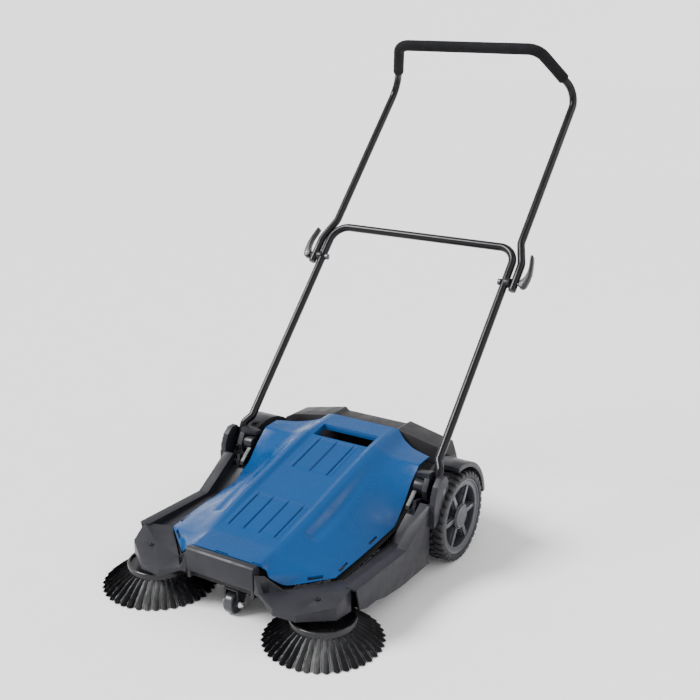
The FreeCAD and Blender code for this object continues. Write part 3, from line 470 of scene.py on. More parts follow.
def mesh_of(name: str, solid: Solid, weld: float = 0.0, outwards: bool = True,
            marks: dict[str, list[float]] | None = None, scale: bool = True) -> bpy.types.Mesh:
    """The mesh of a shape.

    Args:
        name: The name of the mesh.
        solid: The shape, in millimetres from the wheel axle.
        weld: Distance under which corners become one, or 0 to keep them all.
        outwards: Whether the faces are turned outwards.
        marks: Values for each corner, by attribute name.
        scale: Whether the mesh is put in metres and in the frame.

    Returns:
        The mesh.
    """
    mesh = bpy.data.meshes.new(name)
    mesh.from_pydata([tuple(c) for c in solid.corners], [], solid.faces)
    for key, values in (marks or {}).items():
        mesh.attributes.new(key, "FLOAT", "POINT").data.foreach_set("value", values)
    if outwards:
        bm = bmesh.new()
        bm.from_mesh(mesh)
        if weld:
            bmesh.ops.remove_doubles(bm, verts=bm.verts, dist=weld)
            bmesh.ops.dissolve_degenerate(bm, edges=bm.edges, dist=weld)
        bmesh.ops.recalc_face_normals(bm, faces=bm.faces)
        bm.to_mesh(mesh)
        bm.free()
    if scale:
        mesh.transform(TO_FRAME)
    return mesh


def apply_modifiers(obj: bpy.types.Object) -> None:
    """Turns an object's modifiers into plain mesh."""
    bpy.context.view_layer.update()
    graph = bpy.context.evaluated_depsgraph_get()
    mesh = bpy.data.meshes.new_from_object(obj.evaluated_get(graph), depsgraph=graph)
    obj.modifiers.clear()
    obj.data = mesh


def soften_edges(obj: bpy.types.Object, width: float, segments: int, angle: float) -> None:
    """Rounds the edges that are sharper than an angle.

    Args:
        obj: The piece, in metres.
        width: Width of the rounding, in millimetres.
        segments: Steps across the rounding.
        angle: Sharpest edge in degrees that is left alone.
    """
    bevel = obj.modifiers.new("edges", "BEVEL")
    bevel.width = width * MM
    bevel.segments = segments
    bevel.limit_method = "ANGLE"
    bevel.angle_limit = math.radians(angle)
    bevel.use_clamp_overlap = True
    apply_modifiers(obj)


def mark_wear(mesh: bpy.types.Mesh) -> None:
    """Stores how much each corner stands out, which is where a used surface turns pale."""
    bm = bmesh.new()
    bm.from_mesh(mesh)
    values = np.zeros(len(bm.verts), np.float32)
    for edge in bm.edges:
        if len(edge.link_faces) == 2:
            angle = edge.calc_face_angle_signed(0.0)
            amount = min(max((angle - 0.30) / 0.25, 0.0), 1.0)
            for vert in edge.verts:
                values[vert.index] = max(values[vert.index], amount)
    bm.free()
    layer = mesh.attributes.new("wear", "FLOAT", "POINT")
    layer.data.foreach_set("value", values)


def dress(obj: bpy.types.Object, finish: Finish) -> bpy.types.Object:
    """Gives a piece its finish, its shading and its wear values."""
    mesh = obj.data
    mesh.shade_smooth()
    mesh.set_sharp_from_angle(angle=SHARP_ANGLE)
    if finish.wear:
        mark_wear(mesh)
    mesh.materials.clear()
    mesh.materials.append(finish.material())
    return obj


def piece(name: str, solid: Solid, finish: Finish, edge: float = 0.0, segments: int = 2,
          angle: float = 30.0) -> bpy.types.Object:
    """A finished object from a shape.

    Args:
        name: The piece's name.
        solid: Its shape, in millimetres from the wheel axle.
        finish: Its finish.
        edge: Width of the rounding along its edges, in millimetres.
        segments: Steps across that rounding.
        angle: Sharpest edge in degrees that stays as it is.

    Returns:
        The object, in metres and in the frame.
    """
    obj = add_object(name, mesh_of(name, solid, weld=1e-4))
    if edge:
        soften_edges(obj, edge, segments, angle)
    return dress(obj, finish)


def softened(node: str, name: str, finish: Finish, edge: float, segments: int = 2,
             angle: float = 24.0) -> bpy.types.Object:
    """A copy of a frame node with rounded edges.

    Args:
        node: The frame node that is copied.
        name: The new piece's name.
        finish: Its finish.
        edge: Width of the rounding, in millimetres.
        segments: Steps across the rounding.
        angle: Sharpest edge in degrees that stays as it is.

    Returns:
        The new piece; the frame node itself is untouched.
    """
    mesh = frame["nodes"][node].data.copy()
    mesh.name = name
    bm = bmesh.new()
    bm.from_mesh(mesh)
    bmesh.ops.remove_doubles(bm, verts=bm.verts, dist=1e-6)
    bmesh.ops.dissolve_limit(bm, angle_limit=math.radians(0.6), verts=bm.verts, edges=bm.edges)
    bm.to_mesh(mesh)
    bm.free()
    obj = add_object(name, mesh)
    if edge:
        soften_edges(obj, edge, segments, angle)
    return dress(obj, finish)


def fit(obj: bpy.types.Object, body: str, slot: str, *nodes: str) -> bpy.types.Object:
    """Puts a finished piece on its body and hides the frame nodes that it stands for.

    Args:
        obj: The piece.
        body: The body that it moves with.
        slot: The record's material slot; not used.
        nodes: Frame nodes that it stands for.

    Returns:
        The same piece.
    """
    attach(obj, body)
    if nodes:
        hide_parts(*nodes)
    LOG.info("%s on %s, %d faces", obj.name, body, len(obj.data.polygons))
    return obj


def dress_node(node: str, finish: Finish) -> None:
    """Gives a frame node that stays in view its finish."""
    obj = frame["nodes"][node]
    obj.data.materials.clear()
    obj.data.materials.append(finish.material())


# ---------------------------------------------------------------- repeated pieces
class RingTree:
    """Geometry Nodes tree that sets copies of one piece round a circle about Z."""

    NAME = "ring_of_pieces"

    def __init__(self) -> None:
        """Builds the tree once."""
        self.tree = bpy.data.node_groups.get(self.NAME) or self._build()

    def _build(self) -> bpy.types.NodeTree:
        """Makes the tree with its named inputs.

        Returns:
            The node group.
        """
        tree = bpy.data.node_groups.new(self.NAME, "GeometryNodeTree")
        face = tree.interface
        face.new_socket("Geometry", in_out="INPUT", socket_type="NodeSocketGeometry")
        for name, kind in (("Piece", "Object"), ("Count", "Int"), ("Radius", "Float"),
                           ("Start Angle", "Float"), ("Turn Scatter", "Float"), ("Size Scatter", "Float"),
                           ("Seed", "Int"),
                           ("Material", "Material")):
            face.new_socket(name, in_out="INPUT", socket_type="NodeSocket" + kind)
        face.new_socket("Geometry", in_out="OUTPUT", socket_type="NodeSocketGeometry")
        given = tree.nodes.new("NodeGroupInput").outputs
        seed = given["Seed"]

        circle = add_node(tree, "GeometryNodeMeshCircle", {
            "Vertices": given["Count"], "Radius": given["Radius"]})
        index = tree.nodes.new("GeometryNodeInputIndex").outputs[0]
        angle = maths(tree, "MULTIPLY", index, maths(tree, "DIVIDE", math.tau, given["Count"]))
        jitter = self._random(tree, given["Turn Scatter"], seed)
        turn = add_node(tree, "ShaderNodeCombineXYZ", {"Z": maths(tree, "ADD", angle, jitter)})
        size = maths(tree, "ADD", 1.0, self._random(tree, given["Size Scatter"], seed, 7))
        source = add_node(tree, "GeometryNodeObjectInfo", {"Object": given["Piece"]})
        placed = add_node(tree, "GeometryNodeInstanceOnPoints", {
            "Points": circle.outputs["Mesh"], "Instance": source.outputs["Geometry"],
            "Rotation": turn.outputs[0], "Scale": size})

        start = add_node(tree, "ShaderNodeCombineXYZ", {"Z": given["Start Angle"]}).outputs[0]
        whole = add_node(tree, "GeometryNodeTransform", {
            "Geometry": placed.outputs["Instances"], "Rotation": start})
        real = add_node(tree, "GeometryNodeRealizeInstances", {"Geometry": whole.outputs["Geometry"]})
        dressed = add_node(tree, "GeometryNodeSetMaterial", {
            "Geometry": real.outputs["Geometry"], "Material": given["Material"]})
        add_node(tree, "NodeGroupOutput", {"Geometry": dressed.outputs["Geometry"]})
        return tree

    @staticmethod
    def _random(tree: Tree, amount: Socket, seed: Socket, salt: int = 0) -> Socket:
        """A random value for each copy, from minus the amount to the amount.

        Args:
            tree: The tree.
            amount: The largest value.
            seed: The seed.
            salt: What is added to the seed, so that two draws differ.

        Returns:
            The value.
        """
        salted = maths(tree, "ADD", seed, salt)
        node = add_node(tree, "FunctionNodeRandomValue", {"Seed": salted}, data_type="FLOAT")
        lowest, highest = [s for s in node.inputs if s.type == "VALUE" and s.enabled][:2]
        tree.links.new(maths(tree, "MULTIPLY", amount, -1.0), lowest)
        tree.links.new(amount, highest)
        return [s for s in node.outputs if s.type == "VALUE" and s.enabled][0]

    def make(self, name: str, part: Solid, finish: Finish, count: int, radius: float, start: float = 0.0,
             turn_scatter: float = 0.0, size_scatter: float = 0.0, seed: int = 1,
             marks: dict[str, list[float]] | None = None) -> bpy.types.Mesh:
        """A plain mesh of copies round a circle, in millimetres.

        Args:
            name: The name of the mesh.
            part: The piece that is repeated, drawn outwards along X from the circle.
            finish: The finish of the copies.
            count: How many copies.
            radius: The circle's radius.
            start: Angle of the first copy.
            turn_scatter: Random turn of each copy, in radians.
            size_scatter: Random growth of each copy.
            seed: Seed of the random values.
            marks: Values for each corner of the piece, by attribute name.

        Returns:
            The mesh of all the copies.
        """
        source = add_object(name + "_one", mesh_of(name + "_one", part, 0.0, False, marks, False))
        carrier = add_object(name + "_ring", bpy.data.meshes.new(name + "_ring"))
        modifier = carrier.modifiers.new("ring", "NODES")
        modifier.node_group = self.tree
        wanted = {"Piece": source, "Count": count, "Radius": radius, "Start Angle": start,
                  "Turn Scatter": turn_scatter, "Size Scatter": size_scatter, "Seed": seed,
                  "Material": finish.material()}
        for item in self.tree.interface.items_tree:
            if item.item_type == "SOCKET" and item.in_out == "INPUT" and item.name in wanted:
                modifier[item.identifier] = wanted[item.name]
        apply_modifiers(carrier)
        result = carrier.data
        bpy.data.objects.remove(carrier)
        bpy.data.objects.remove(source)
        return result


def add_mesh(solid: Solid, mesh: bpy.types.Mesh, matrix: Matrix) -> Solid:
    """Takes a mesh into a shape, moved by a matrix."""
    corners = [matrix @ v.co for v in mesh.vertices]
    return solid.add(Solid(corners, [tuple(p.vertices) for p in mesh.polygons]))


@dataclass(frozen=True)
class Tuft:
    """A bundle of bristles drawn from its root on the circle outwards along X."""

    strands: int
    root: float
    fan: float
    reach: float
    top: float
    bottom: float
    thickness: float
    seed: int
    bow: float = 3.0

    def build(self) -> tuple[Solid, dict[str, list[float]]]:
        """Makes the strands.

        Returns:
            The shape and, for each corner, its reach and how strongly it takes the painted root highlight.
        """
        chance = random.Random(self.seed)
        whole = Solid()
        reach: list[float] = []
        root_highlight_share: list[float] = []
        steps = 3
        sides = 3
        for _ in range(self.strands):
            angle = chance.uniform(0, math.tau)
            off = self.root * math.sqrt(chance.random())
            root = Vector((off * math.cos(angle) * 0.7, off * math.sin(angle), self.top))
            spread = 0.7 * root.y / self.root + chance.uniform(-0.3, 0.3) if self.root else 0.0
            length = self.reach * (1 - 0.10 * abs(spread) - chance.uniform(0, 0.05))
            tip = Vector((length, spread * self.fan, self.bottom + chance.uniform(0, 1.5)))
            # How strongly this strand takes the painted root highlight.
            tone = chance.uniform(0.2, 1.0)
            path = []
            for k in range(steps + 1):
                t = k / steps
                path.append(root.lerp(tip, t) + Vector((0, 0, self.bow * math.sin(math.pi * t))))
            size = self.thickness * chance.uniform(0.8, 1.2)
            whole.add(swept(path, size, sides))
            for k in range(steps + 1):
                reach += [k / steps] * sides
                root_highlight_share += [tone] * sides
        return whole, {"reach": reach, "root_highlight_share": root_highlight_share}


class Bristles:
    """Bristles gathered from many meshes into one piece, each corner with its reach and the strength of its painted
    root highlight.
    """

    def __init__(self) -> None:
        """Starts with none."""
        self.solid = Solid()
        self.marks: dict[str, list[float]] = {"reach": [], "root_highlight_share": []}

    def take(self, mesh: bpy.types.Mesh, place: Matrix) -> None:
        """Adds the bristles of a mesh, moved by a matrix.

        Args:
            mesh: The bristles, in millimetres, with their values.
            place: Where they go on the machine.
        """
        for key, values in self.marks.items():
            read = np.zeros(len(mesh.vertices), np.float32)
            mesh.attributes[key].data.foreach_get("value", read)
            values += read.tolist()
        add_mesh(self.solid, mesh, place)

    def piece(self, name: str) -> bpy.types.Object:
        """The finished piece."""
        return dress(add_object(name, mesh_of(name, self.solid, 0.0, False, self.marks)), BRISTLE_BLACK)


# ---------------------------------------------------------------- hood
def ramp(value: np.ndarray, width: float) -> np.ndarray:
    """A bend from 0 to a straight rise, rounded over the width on both sides of 0."""
    inside = (value + width) ** 2 / (4 * width)
    return np.where(value <= -width, 0.0, np.where(value >= width, value, inside))


def step(value: np.ndarray, start: float, end: float) -> np.ndarray:
    """A smooth rise from 0 at start to 1 at end."""
    t = np.clip((value - start) / (end - start), 0.0, 1.0)
    return t * t * (3 - 2 * t)


def eased(rows: np.ndarray, places: np.ndarray, widths: Sequence[float]) -> np.ndarray:
    """Points on a chain of runs whose corners are rounded.

    Args:
        rows: The chain's corners along the first axis.
        places: Where to read it; whole numbers are the corners.
        widths: How far each inner corner is rounded, as a share of a run.

    Returns:
        The points, along the first axis.
    """
    slopes = np.diff(rows, axis=0)
    shape = (-1,) + (1,) * (rows.ndim - 1)
    result = rows[0] + slopes[0] * places.reshape(shape)
    for k in range(1, len(slopes)):
        bend = ramp(places - k, widths[k - 1]).reshape(shape)
        result = result + (slopes[k] - slopes[k - 1]) * bend
    return result


@dataclass
class Hood:
    """The blue cover: one moulded shell with a grip opening and grooved panels."""

    wall: float = 3.2
    slope: float = 92.0 / 384.0
    groove_half: float = 3.7
    groove_depth: float = 3.4
    pad_height: float = 1.1
    opening_depth: float = 13.0
    upper_grooves: tuple[float, ...] = (0.0, 47.0)
    lower_grooves: tuple[float, ...] = (21.0, 62.0)
    panel_half: float = 78.0

    def _row(self, y: float, ridge: float, *outer: tuple[float, ...]) -> list[tuple[float, ...]]:
        """One cross row of control points over the sloping panel."""
        z = 249.0 + (y + 50.0) * self.slope
        return [(0, y, z), (78, y, z), (90, y, z + ridge), (105, y, z + ridge - 3), *outer]

    def _net(self) -> np.ndarray:
        """Control points of the right half, from the rear edge to the front edge."""
        rows = [
            [(0, 62, 262.5), (70, 62, 262.5), (86, 62, 262.5), (99, 62, 261),
             (126, 44, 244), (165, 18, 240), (217.5, -2, 239.5)],
            [(0, 4, 258), (78, 4, 258), (89, 4, 259), (101, 4, 256),
             (132, 0, 241), (170, -8, 239), (217.5, -24, 239.5)],
            self._row(-50, 5, (136, -50, 238), (175, -50, 236), (217.5, -52, 237.5)),
            self._row(-100, 7, (142, -96, 222), (184, -92, 212), (217.5, -88, 207.5)),
            self._row(-150, 7, (150, -145, 202), (190, -132, 180), (218.5, -120, 171)),
            self._row(-230, 6, (158, -225, 178), (200, -200, 150), (223.5, -172, 134)),
            self._row(-330, 4, (160, -325, 154), (200, -318, 137), (222.5, -310, 125)),
            [(0, -434, 157), (76, -434, 157), (84, -434, 157), (93, -433, 156),
             (140, -440, 136), (186, -424, 126), (217.5, -412, 117)],
            [(0, -501, 150), (60, -501, 150), (88, -501, 149), (101, -491, 139),
             (113, -500, 127), (136, -477.5, 105), (176, -446, 111)],
        ]
        return np.array(rows, float)

    def _columns(self) -> np.ndarray:
        """Places across the right half, close together where a groove runs."""
        places = {0.0, self.panel_half}
        for groove in self.upper_grooves + self.lower_grooves:
            for side in (-1, 1):
                places |= {abs(groove + side * d) for d in (0.0, 1.6, 3.0, 4.2, 5.2)}
        places |= set(np.arange(4, 78, 5.0))
        flat = sorted(places)
        kept = [flat[0]]
        for x in flat[1:]:
            if x - kept[-1] > 0.55:
                kept.append(x)
        inner = np.array(kept) / self.panel_half
        inner[-1] = 1.0
        outer = [np.linspace(k, k + 1, n + 1)[1:] for k, n in ((1, 7), (2, 7), (3, 13), (4, 12), (5, 9))]
        return np.concatenate([inner] + outer)

    def _lines(self) -> np.ndarray:
        """Places along the hood, from the rear edge to the front edge."""
        steps = (14, 12, 18, 18, 26, 32, 34, 22)
        return np.concatenate([[0.0]] + [np.linspace(k, k + 1, n + 1)[1:] for k, n in enumerate(steps)])

    def _relief(self, x: np.ndarray, y: np.ndarray, across: np.ndarray) -> np.ndarray:
        """Height of grooves, raised pads and the scoops beside the panel.

        Args:
            x: Distance from the middle plane.
            y: Place along the machine.
            across: Column place of each point.

        Returns:
            What is added to the height.
        """
        side = np.minimum(across, 1.0) * self.panel_half
        height = np.zeros_like(x)
        zones = ((self.upper_grooves, -60.0, -179.0, 60.0), (self.lower_grooves, -292.0, -407.0, 74.0))
        for grooves, rear, front, half in zones:
            length = step(-y, -rear - 5, -rear + 5) * (1 - step(-y, -front - 5, -front + 5))
            inside = (1 - step(side, half - 5, half)) * (across < 1)
            height += self.pad_height * length * inside
            for groove in grooves:
                cut = 1 - step(np.abs(side - groove), 1.2, self.groove_half)
                height -= self.groove_depth * cut * length
        along = step(-y, 30, 330) * (1 - step(-y, 352, 372))
        dip = np.exp(-((across - 3.0 - 0.42) / 0.26) ** 2)
        height -= 6.5 * dip * along
        return height

    @staticmethod
    def _slits() -> bpy.types.Object:
        """Upright bars that cut the slits for the snap hooks along the lower and front edges."""
        whole = Solid()
        places = ((183, -434, 118, 38.5, 32.4, 4.4), (212.5, -372, 124.5, 90, 32.4, 4.4),
                  (215, -255, 134.5, 90, 32.4, 4.4), (86, -497.2, 149, 0, 34, 3.4),
                  (-10, -497.6, 150, 0, 34, 3.4))
        for x, y, z, turn, length, width in places:
            bar = prism([(-length / 2, -width / 2), (length / 2, -width / 2), (length / 2, width / 2),
                         (-length / 2, width / 2)], "z", z - 12, z + 12)
            bar = bar.turned(Matrix.Translation((x, y, 0)) @ Matrix.Rotation(math.radians(turn), 4, "Z"))
            whole.add(bar)
            if x > 100:
                whole.add(bar.mirrored())
        return add_object("slits", mesh_of("slits", whole))

    def build(self) -> bpy.types.Object:
        """Makes the hood and fits it to the chassis.

        Returns:
            The hood piece.
        """
        columns = self._columns()
        lines = self._lines()
        across_rows = eased(np.swapaxes(self._net(), 0, 1), columns, (0.06, 0.22, 0.30, 0.42, 0.30))
        rows = np.swapaxes(across_rows, 0, 1)
        soft = eased(rows, lines, (0.12, 0.10, 0.5, 0.5, 0.6, 0.6, 0.05))
        crisp = eased(rows, lines, (0.08, 0.08, 0.12, 0.12, 0.14, 0.14, 0.05))
        share = step(columns, 3.9, 5.7)[:, None]
        points = soft * (1 - share) + crisp * share
        grid = np.meshgrid(columns, lines)[0]
        points[..., 2] += self._relief(points[..., 0], points[..., 1], grid)

        left = points[:, :0:-1].copy()
        left[..., 0] *= -1
        full = np.concatenate([left, points], axis=1)
        places = np.concatenate([columns[:0:-1], columns])
        wide = len(places)
        faces = []
        for i in range(len(lines) - 1):
            for j in range(wide - 1):
                if 1.0 < (lines[i] + lines[i + 1]) / 2 < 2.0 and (places[j] + places[j + 1]) / 2 < 1.0:
                    continue
                a = i * wide + j
                faces.append((a, a + 1, a + 1 + wide, a + wide))
        skin = Solid([Vector(p) for p in full.reshape(-1, 3)], faces)
        skin.add(self._collar(full, lines, places))

        mesh = bpy.data.meshes.new("hood_cover")
        mesh.from_pydata([tuple(c) for c in skin.corners], [], skin.faces)
        bm = bmesh.new()
        bm.from_mesh(mesh)
        bmesh.ops.remove_doubles(bm, verts=bm.verts, dist=1e-3)
        loose = [v for v in bm.verts if not v.link_faces]
        bmesh.ops.delete(bm, geom=loose, context="VERTS")
        bmesh.ops.recalc_face_normals(bm, faces=bm.faces)
        top = max(bm.faces, key=lambda f: f.calc_center_median().z)
        if top.normal.z < 0:
            bmesh.ops.reverse_faces(bm, faces=bm.faces)
        bm.to_mesh(mesh)
        bm.free()
        mesh.transform(TO_FRAME)
        obj = add_object("hood_cover", mesh)
        thick = obj.modifiers.new("wall", "SOLIDIFY")
        thick.thickness = self.wall * MM
        thick.offset = -1.0
        slits = self._slits()
        cut = obj.modifiers.new("slits", "BOOLEAN")
        cut.operation = "DIFFERENCE"
        cut.solver = "EXACT"
        cut.object = slits
        apply_modifiers(obj)
        bpy.data.objects.remove(slits)
        dress(obj, HOOD_BLUE)
        return fit(obj, "chassis", "hood_blue", "hood")

    def _collar(self, full: np.ndarray, lines: np.ndarray, places: np.ndarray) -> Solid:
        """The wall that goes down round the grip opening.

        Args:
            full: Grid points of the whole hood.
            lines: Places along the hood.
            places: Places across it.

        Returns:
            The wall, which starts on the opening's edge.
        """
        i0 = int(np.argmin(np.abs(lines - 1.0)))
        i1 = int(np.argmin(np.abs(lines - 2.0)))
        middle = len(places) // 2
        reach = int(np.sum(places[middle:] <= 1.0)) - 1
        j0, j1 = middle - reach, middle + reach
        ring = [full[i0, j] for j in range(j0, j1)] + [full[i, j1] for i in range(i0, i1)]
        ring += [full[i1, j] for j in range(j1, j0, -1)] + [full[i, j0] for i in range(i1, i0, -1)]
        centre = np.mean(ring, axis=0)
        corners = []
        drops = ((0.0, 0.0), (0.8, 2.0), (1.6, 4.5), (2.2, 8.0), (2.8, self.opening_depth))
        for inward, down in drops:
            for p in ring:
                out = p[:2] - centre[:2]
                q = p.copy()
                if down:
                    q[0] -= inward * np.sign(out[0]) * (abs(out[0]) > self.panel_half - 1)
                    q[1] -= inward * np.sign(out[1]) * (abs(out[0]) <= self.panel_half - 1)
                q[2] -= down
                corners.append(Vector(q))
        count = len(ring)
        faces = []
        for level in range(len(drops) - 1):
            for k in range(count):
                after = (k + 1) % count
                a = level * count
                faces.append((a + k, a + after, a + after + count, a + k + count))
        return Solid(corners, faces)


# ---------------------------------------------------------------- chassis
@dataclass
class Chassis:
    """Side frames, nose bar, brush housing and the small parts on them."""

    frame_edge: float = 1.8
    bar_edge: float = 1.6

    def build(self) -> None:
        """Makes the chassis pieces and dresses the nodes that stay."""
        for side in ("left", "right"):
            obj = softened(f"side_frame_{side}", f"side_frame_{side}_shell", BODY_BLACK, self.frame_edge, 3)
            fit(obj, "chassis", "chassis_plastic", f"side_frame_{side}")
            dress_node(f"wheel_axle_{side}", STEEL)
            dress_node(f"belt_{side}", BELT_RUBBER)
            dress_node(f"pivot_bolt_{side}", DARK_STEEL)
        bar = softened("front_bar", "nose_bar", BODY_BLACK, self.bar_edge, 3)
        fit(bar, "chassis", "chassis_plastic", "front_bar")
        housing = softened("brush_housing", "housing_shell", INNER_BLACK, 0.8)
        fit(housing, "chassis", "chassis_plastic", "brush_housing")
        for node, finish in (("dirt_ramp", RAMP_RUBBER), ("hood_clips", TRIM_BLACK),
                             ("frame_screws", SCREW_BLACK), ("axle_clips", STEEL), ("roller_bushes", BUSH_WHITE),
                             ("spindle_bushes", BUSH_WHITE), ("caster_socket", BUSH_WHITE)):
            dress_node(node, finish)


# ---------------------------------------------------------------- wheels
@dataclass
class Wheel:
    """A driving wheel: tyre with lugs, spoked rim and hub cap. Heights run outwards from its inner face."""

    radius: float = 108.0
    width: float = 50.0
    outer_face: float = 309.0
    lugs: int = 36
    spokes: int = 6

    def _place(self, side: int) -> Matrix:
        """From the wheel's own axis to its place on the machine."""
        turn = Matrix.Rotation(side * math.pi / 2, 4, "Y")
        return Matrix.Translation((side * (self.outer_face - self.width), 0, self.radius)) @ turn

    def _lug(self, outer: bool) -> Solid:
        """One tread block, from the middle of the tread round the shoulder."""
        section = [(101.5, 25.8), (107.2, 25.8), (107.9, 26.8), (107.9, 44.5), (105.5, 48.4),
                   (98.5, 49.7), (96.5, 49.0), (101.5, 44.0)]
        if not outer:
            section = [(r, self.width - a) for r, a in reversed(section)]
        corners = []
        for half in (-1, 1):
            for r, a in section:
                width = 6.4 if r < 104 else 5.7
                skew = 0.22 * (abs(a - self.width / 2) - 12)
                corners.append(Vector((r - self.radius, half * width + skew, a)))
        count = len(section)
        faces = [tuple(range(count - 1, -1, -1)), tuple(range(count, 2 * count))]
        faces += [(i, (i + 1) % count, (i + 1) % count + count, i + count) for i in range(count)]
        return Solid(corners, faces)

    def _tyre(self, side: int) -> bpy.types.Object:
        """The carcass with two staggered rows of lugs."""
        inner = [(91.0, 2.0), (92.5, 0.9), (97.0, 0.4), (101.0, 1.6), (103.4, 4.5), (103.9, 9.0)]
        section = inner + [(r, self.width - a) for r, a in reversed(inner)]
        place = self._place(side)
        whole = lathe(section, 144).turned(place)
        ring = RingTree()
        for outer, start in ((True, 0.0), (False, math.pi / self.lugs)):
            mesh = ring.make("lugs", self._lug(outer), TYRE_RUBBER, self.lugs, self.radius, start)
            add_mesh(whole, mesh, place)
        return piece(self._name("tyre", side), whole, TYRE_RUBBER, 0.7, 2, 40)

    def _rim(self, side: int) -> bpy.types.Object:
        """The rim ring, six spokes and the hub."""
        ring_section = [(91.0, 3.0), (91.0, 46.8), (89.6, 48.0), (87.4, 48.0), (86.0, 46.4), (84.5, 44.6),
                        (79.0, 43.6), (77.6, 45.0), (75.6, 45.0), (74.4, 43.6), (74.0, 40.0), (74.6, 16.5),
                        (82.0, 14.6), (82.0, 3.0)]
        hub_section = [(8.1, 3.0), (27.0, 3.0), (27.0, 38.0), (31.0, 41.0), (31.0, 44.0), (29.4, 45.2),
                       (27.6, 43.4), (16.0, 43.0), (8.1, 38.0)]
        place = self._place(side)
        whole = lathe(ring_section, 128).turned(place)
        whole.add(lathe(hub_section, 72).turned(place))
        bar = [(0.0, -8.0), (52.0, -7.0), (52.0, 7.0), (0.0, 8.0)]
        lower = prism(bar, "z", 20.0, 37.0)
        rib = [(0.0, -6.0), (52.0, -5.2), (52.0, 5.2), (0.0, 6.0)]
        upper = prism(rib, "z", 36.5, 42.0)
        mesh = RingTree().make("spokes", joined(lower, upper), RIM_GREY, self.spokes, 25.0, math.radians(30))
        add_mesh(whole, mesh, place)
        return piece(self._name("rim", side), whole, RIM_GREY, 0.9, 2, 34)

    def _cap(self, side: int) -> bpy.types.Object:
        """The domed cover over the axle's end."""
        section = [(0.0, 41.0), (13.0, 41.0), (16.0, 41.0), (16.0, 44.0), (27.6, 44.0), (28.0, 45.2),
                   (27.6, 46.6), (26.2, 47.6), (24.6, 47.8), (23.4, 47.2), (22.0, 47.1), (14.0, 47.7), (0.0, 48.0)]
        return piece(self._name("hub_cap", side), lathe(section, 72).turned(self._place(side)), HUB_GREY)

    @staticmethod
    def _name(kind: str, side: int) -> str:
        """The piece's name on the given side."""
        return f"{kind}_{'right' if side > 0 else 'left'}"

    def build(self) -> None:
        """Makes both wheels."""
        for side, hand in ((1, "right"), (-1, "left")):
            body = f"wheel_{hand}"
            fit(self._tyre(side), body, "tyre", f"wheel_tyre_{hand}")
            fit(self._rim(side), body, "wheel_plastic", f"wheel_rim_{hand}")
            fit(self._cap(side), body, "hub_grey", f"hub_cap_{hand}")
            dress_node(f"ring_gear_{hand}", GEAR_GREY)


# ---------------------------------------------------------------- brushes
@dataclass
class SideBrush:
    """A side brush: dished hub with a rim ring and two rows of tufts."""

    x: float = 219.0
    y: float = -460.0
    rim_z: float = 48.0
    tip_r: float = 131.0
    tufts: int = 40

    def _hub(self, place: Matrix) -> Solid:
        """The dished hub with a raised ring at its rim."""
        section = [(6.1, 19), (17.0, 19), (18.2, 17.8), (20.6, 9), (23.0, 7), (28.0, 5.8), (62.0, 2.2), (63.9, 2.6),
                   (65.2, 7), (66.4, 7.9), (69.6, 7.9), (71.0, 6.9), (71.4, 5.6), (71.4, -7.4), (70.8, -8),
                   (66.0, -8), (65.6, -7.4), (64.2, -1.4), (27.0, 2.5), (16.0, 4), (16.0, -2), (6.1, -2)]
        return lathe([(r, self.rim_z + h) for r, h in section], 96).turned(place)

    def _bristles(self, hand: str, place: Matrix) -> bpy.types.Object:
        """A ring of tufts, tight at their roots, that meet at the tips.

        Args:
            hand: The side, left or right.
            place: Where the brush sits on the machine.

        Returns:
            The piece.
        """
        bristles = Bristles()
        ring = RingTree()
        rows = ((68.5, 0.0, 46, 44.0, 3.4), (66.0, 2.5, 24, 42.0, 1.6))
        for row, (root_r, inset, strands, top, bow) in enumerate(rows):
            tuft = Tuft(strands, 2.9, 10.4, self.tip_r - root_r - inset, top, 1.0, 0.42, 11 + row, bow)
            part, marks = tuft.build()
            seed = 5 + row + (10 if hand == "left" else 0)
            mesh = ring.make("tufts", part, BRISTLE_BLACK, self.tufts, root_r, 0.0, 0.025, 0.0, seed, marks)
            bristles.take(mesh, place)
        return bristles.piece(f"side_tufts_{hand}")

    def build(self) -> None:
        """Makes both side brushes."""
        for side, hand in ((1, "right"), (-1, "left")):
            place = Matrix.Translation((side * self.x, self.y, 0))
            body = f"side_brush_{hand}"
            hub = piece(f"side_hub_{hand}", self._hub(place), DISH_BLACK)
            fit(hub, body, "trim_black", f"side_brush_hub_{hand}")
            fit(self._bristles(hand, place), body, "bristle_black", f"side_brush_bristles_{hand}")
            dress_node(f"side_brush_spindle_{hand}", STEEL)
            dress_node(f"spindle_pulley_{hand}", GEAR_GREY)


@dataclass
class MainBrush:
    """The roller brush: a core with straight strips of tufts."""

    y: float = -49.99
    z: float = 90.4
    half: float = 208.0
    core_r: float = 40.0
    tip_r: float = 87.6
    strips: int = 8
    steps: int = 52

    def build(self) -> None:
        """Makes the bristles and dresses the drive parts."""
        bristles = Bristles()
        part, marks = Tuft(9, 3.2, 5.5, 0.0, self.core_r - 1.0, self.tip_r, 0.55, 31, 0.0).build()
        crossways = Matrix.Rotation(math.pi / 2, 4, "Y")
        laid = part.turned(crossways)
        ring = RingTree()
        for k in range(self.steps):
            x = -self.half + 2 * self.half * (k + 0.5) / self.steps
            mesh = ring.make("roller", laid, BRISTLE_BLACK, self.strips, 0.001, 0.0, 0.03, 0.0, 40 + k, marks)
            bristles.take(mesh, Matrix.Translation((x, self.y, self.z)) @ crossways)
        fit(bristles.piece("roller_tufts"), "roller", "bristle_black", "roller_bristles")
        for node, finish in (("roller_shaft", STEEL), ("roller_core", INNER_BLACK),
                             ("pinion_right", GEAR_GREY), ("pinion_left", GEAR_GREY),
                             ("drive_pulleys", GEAR_GREY)):
            dress_node(node, finish)


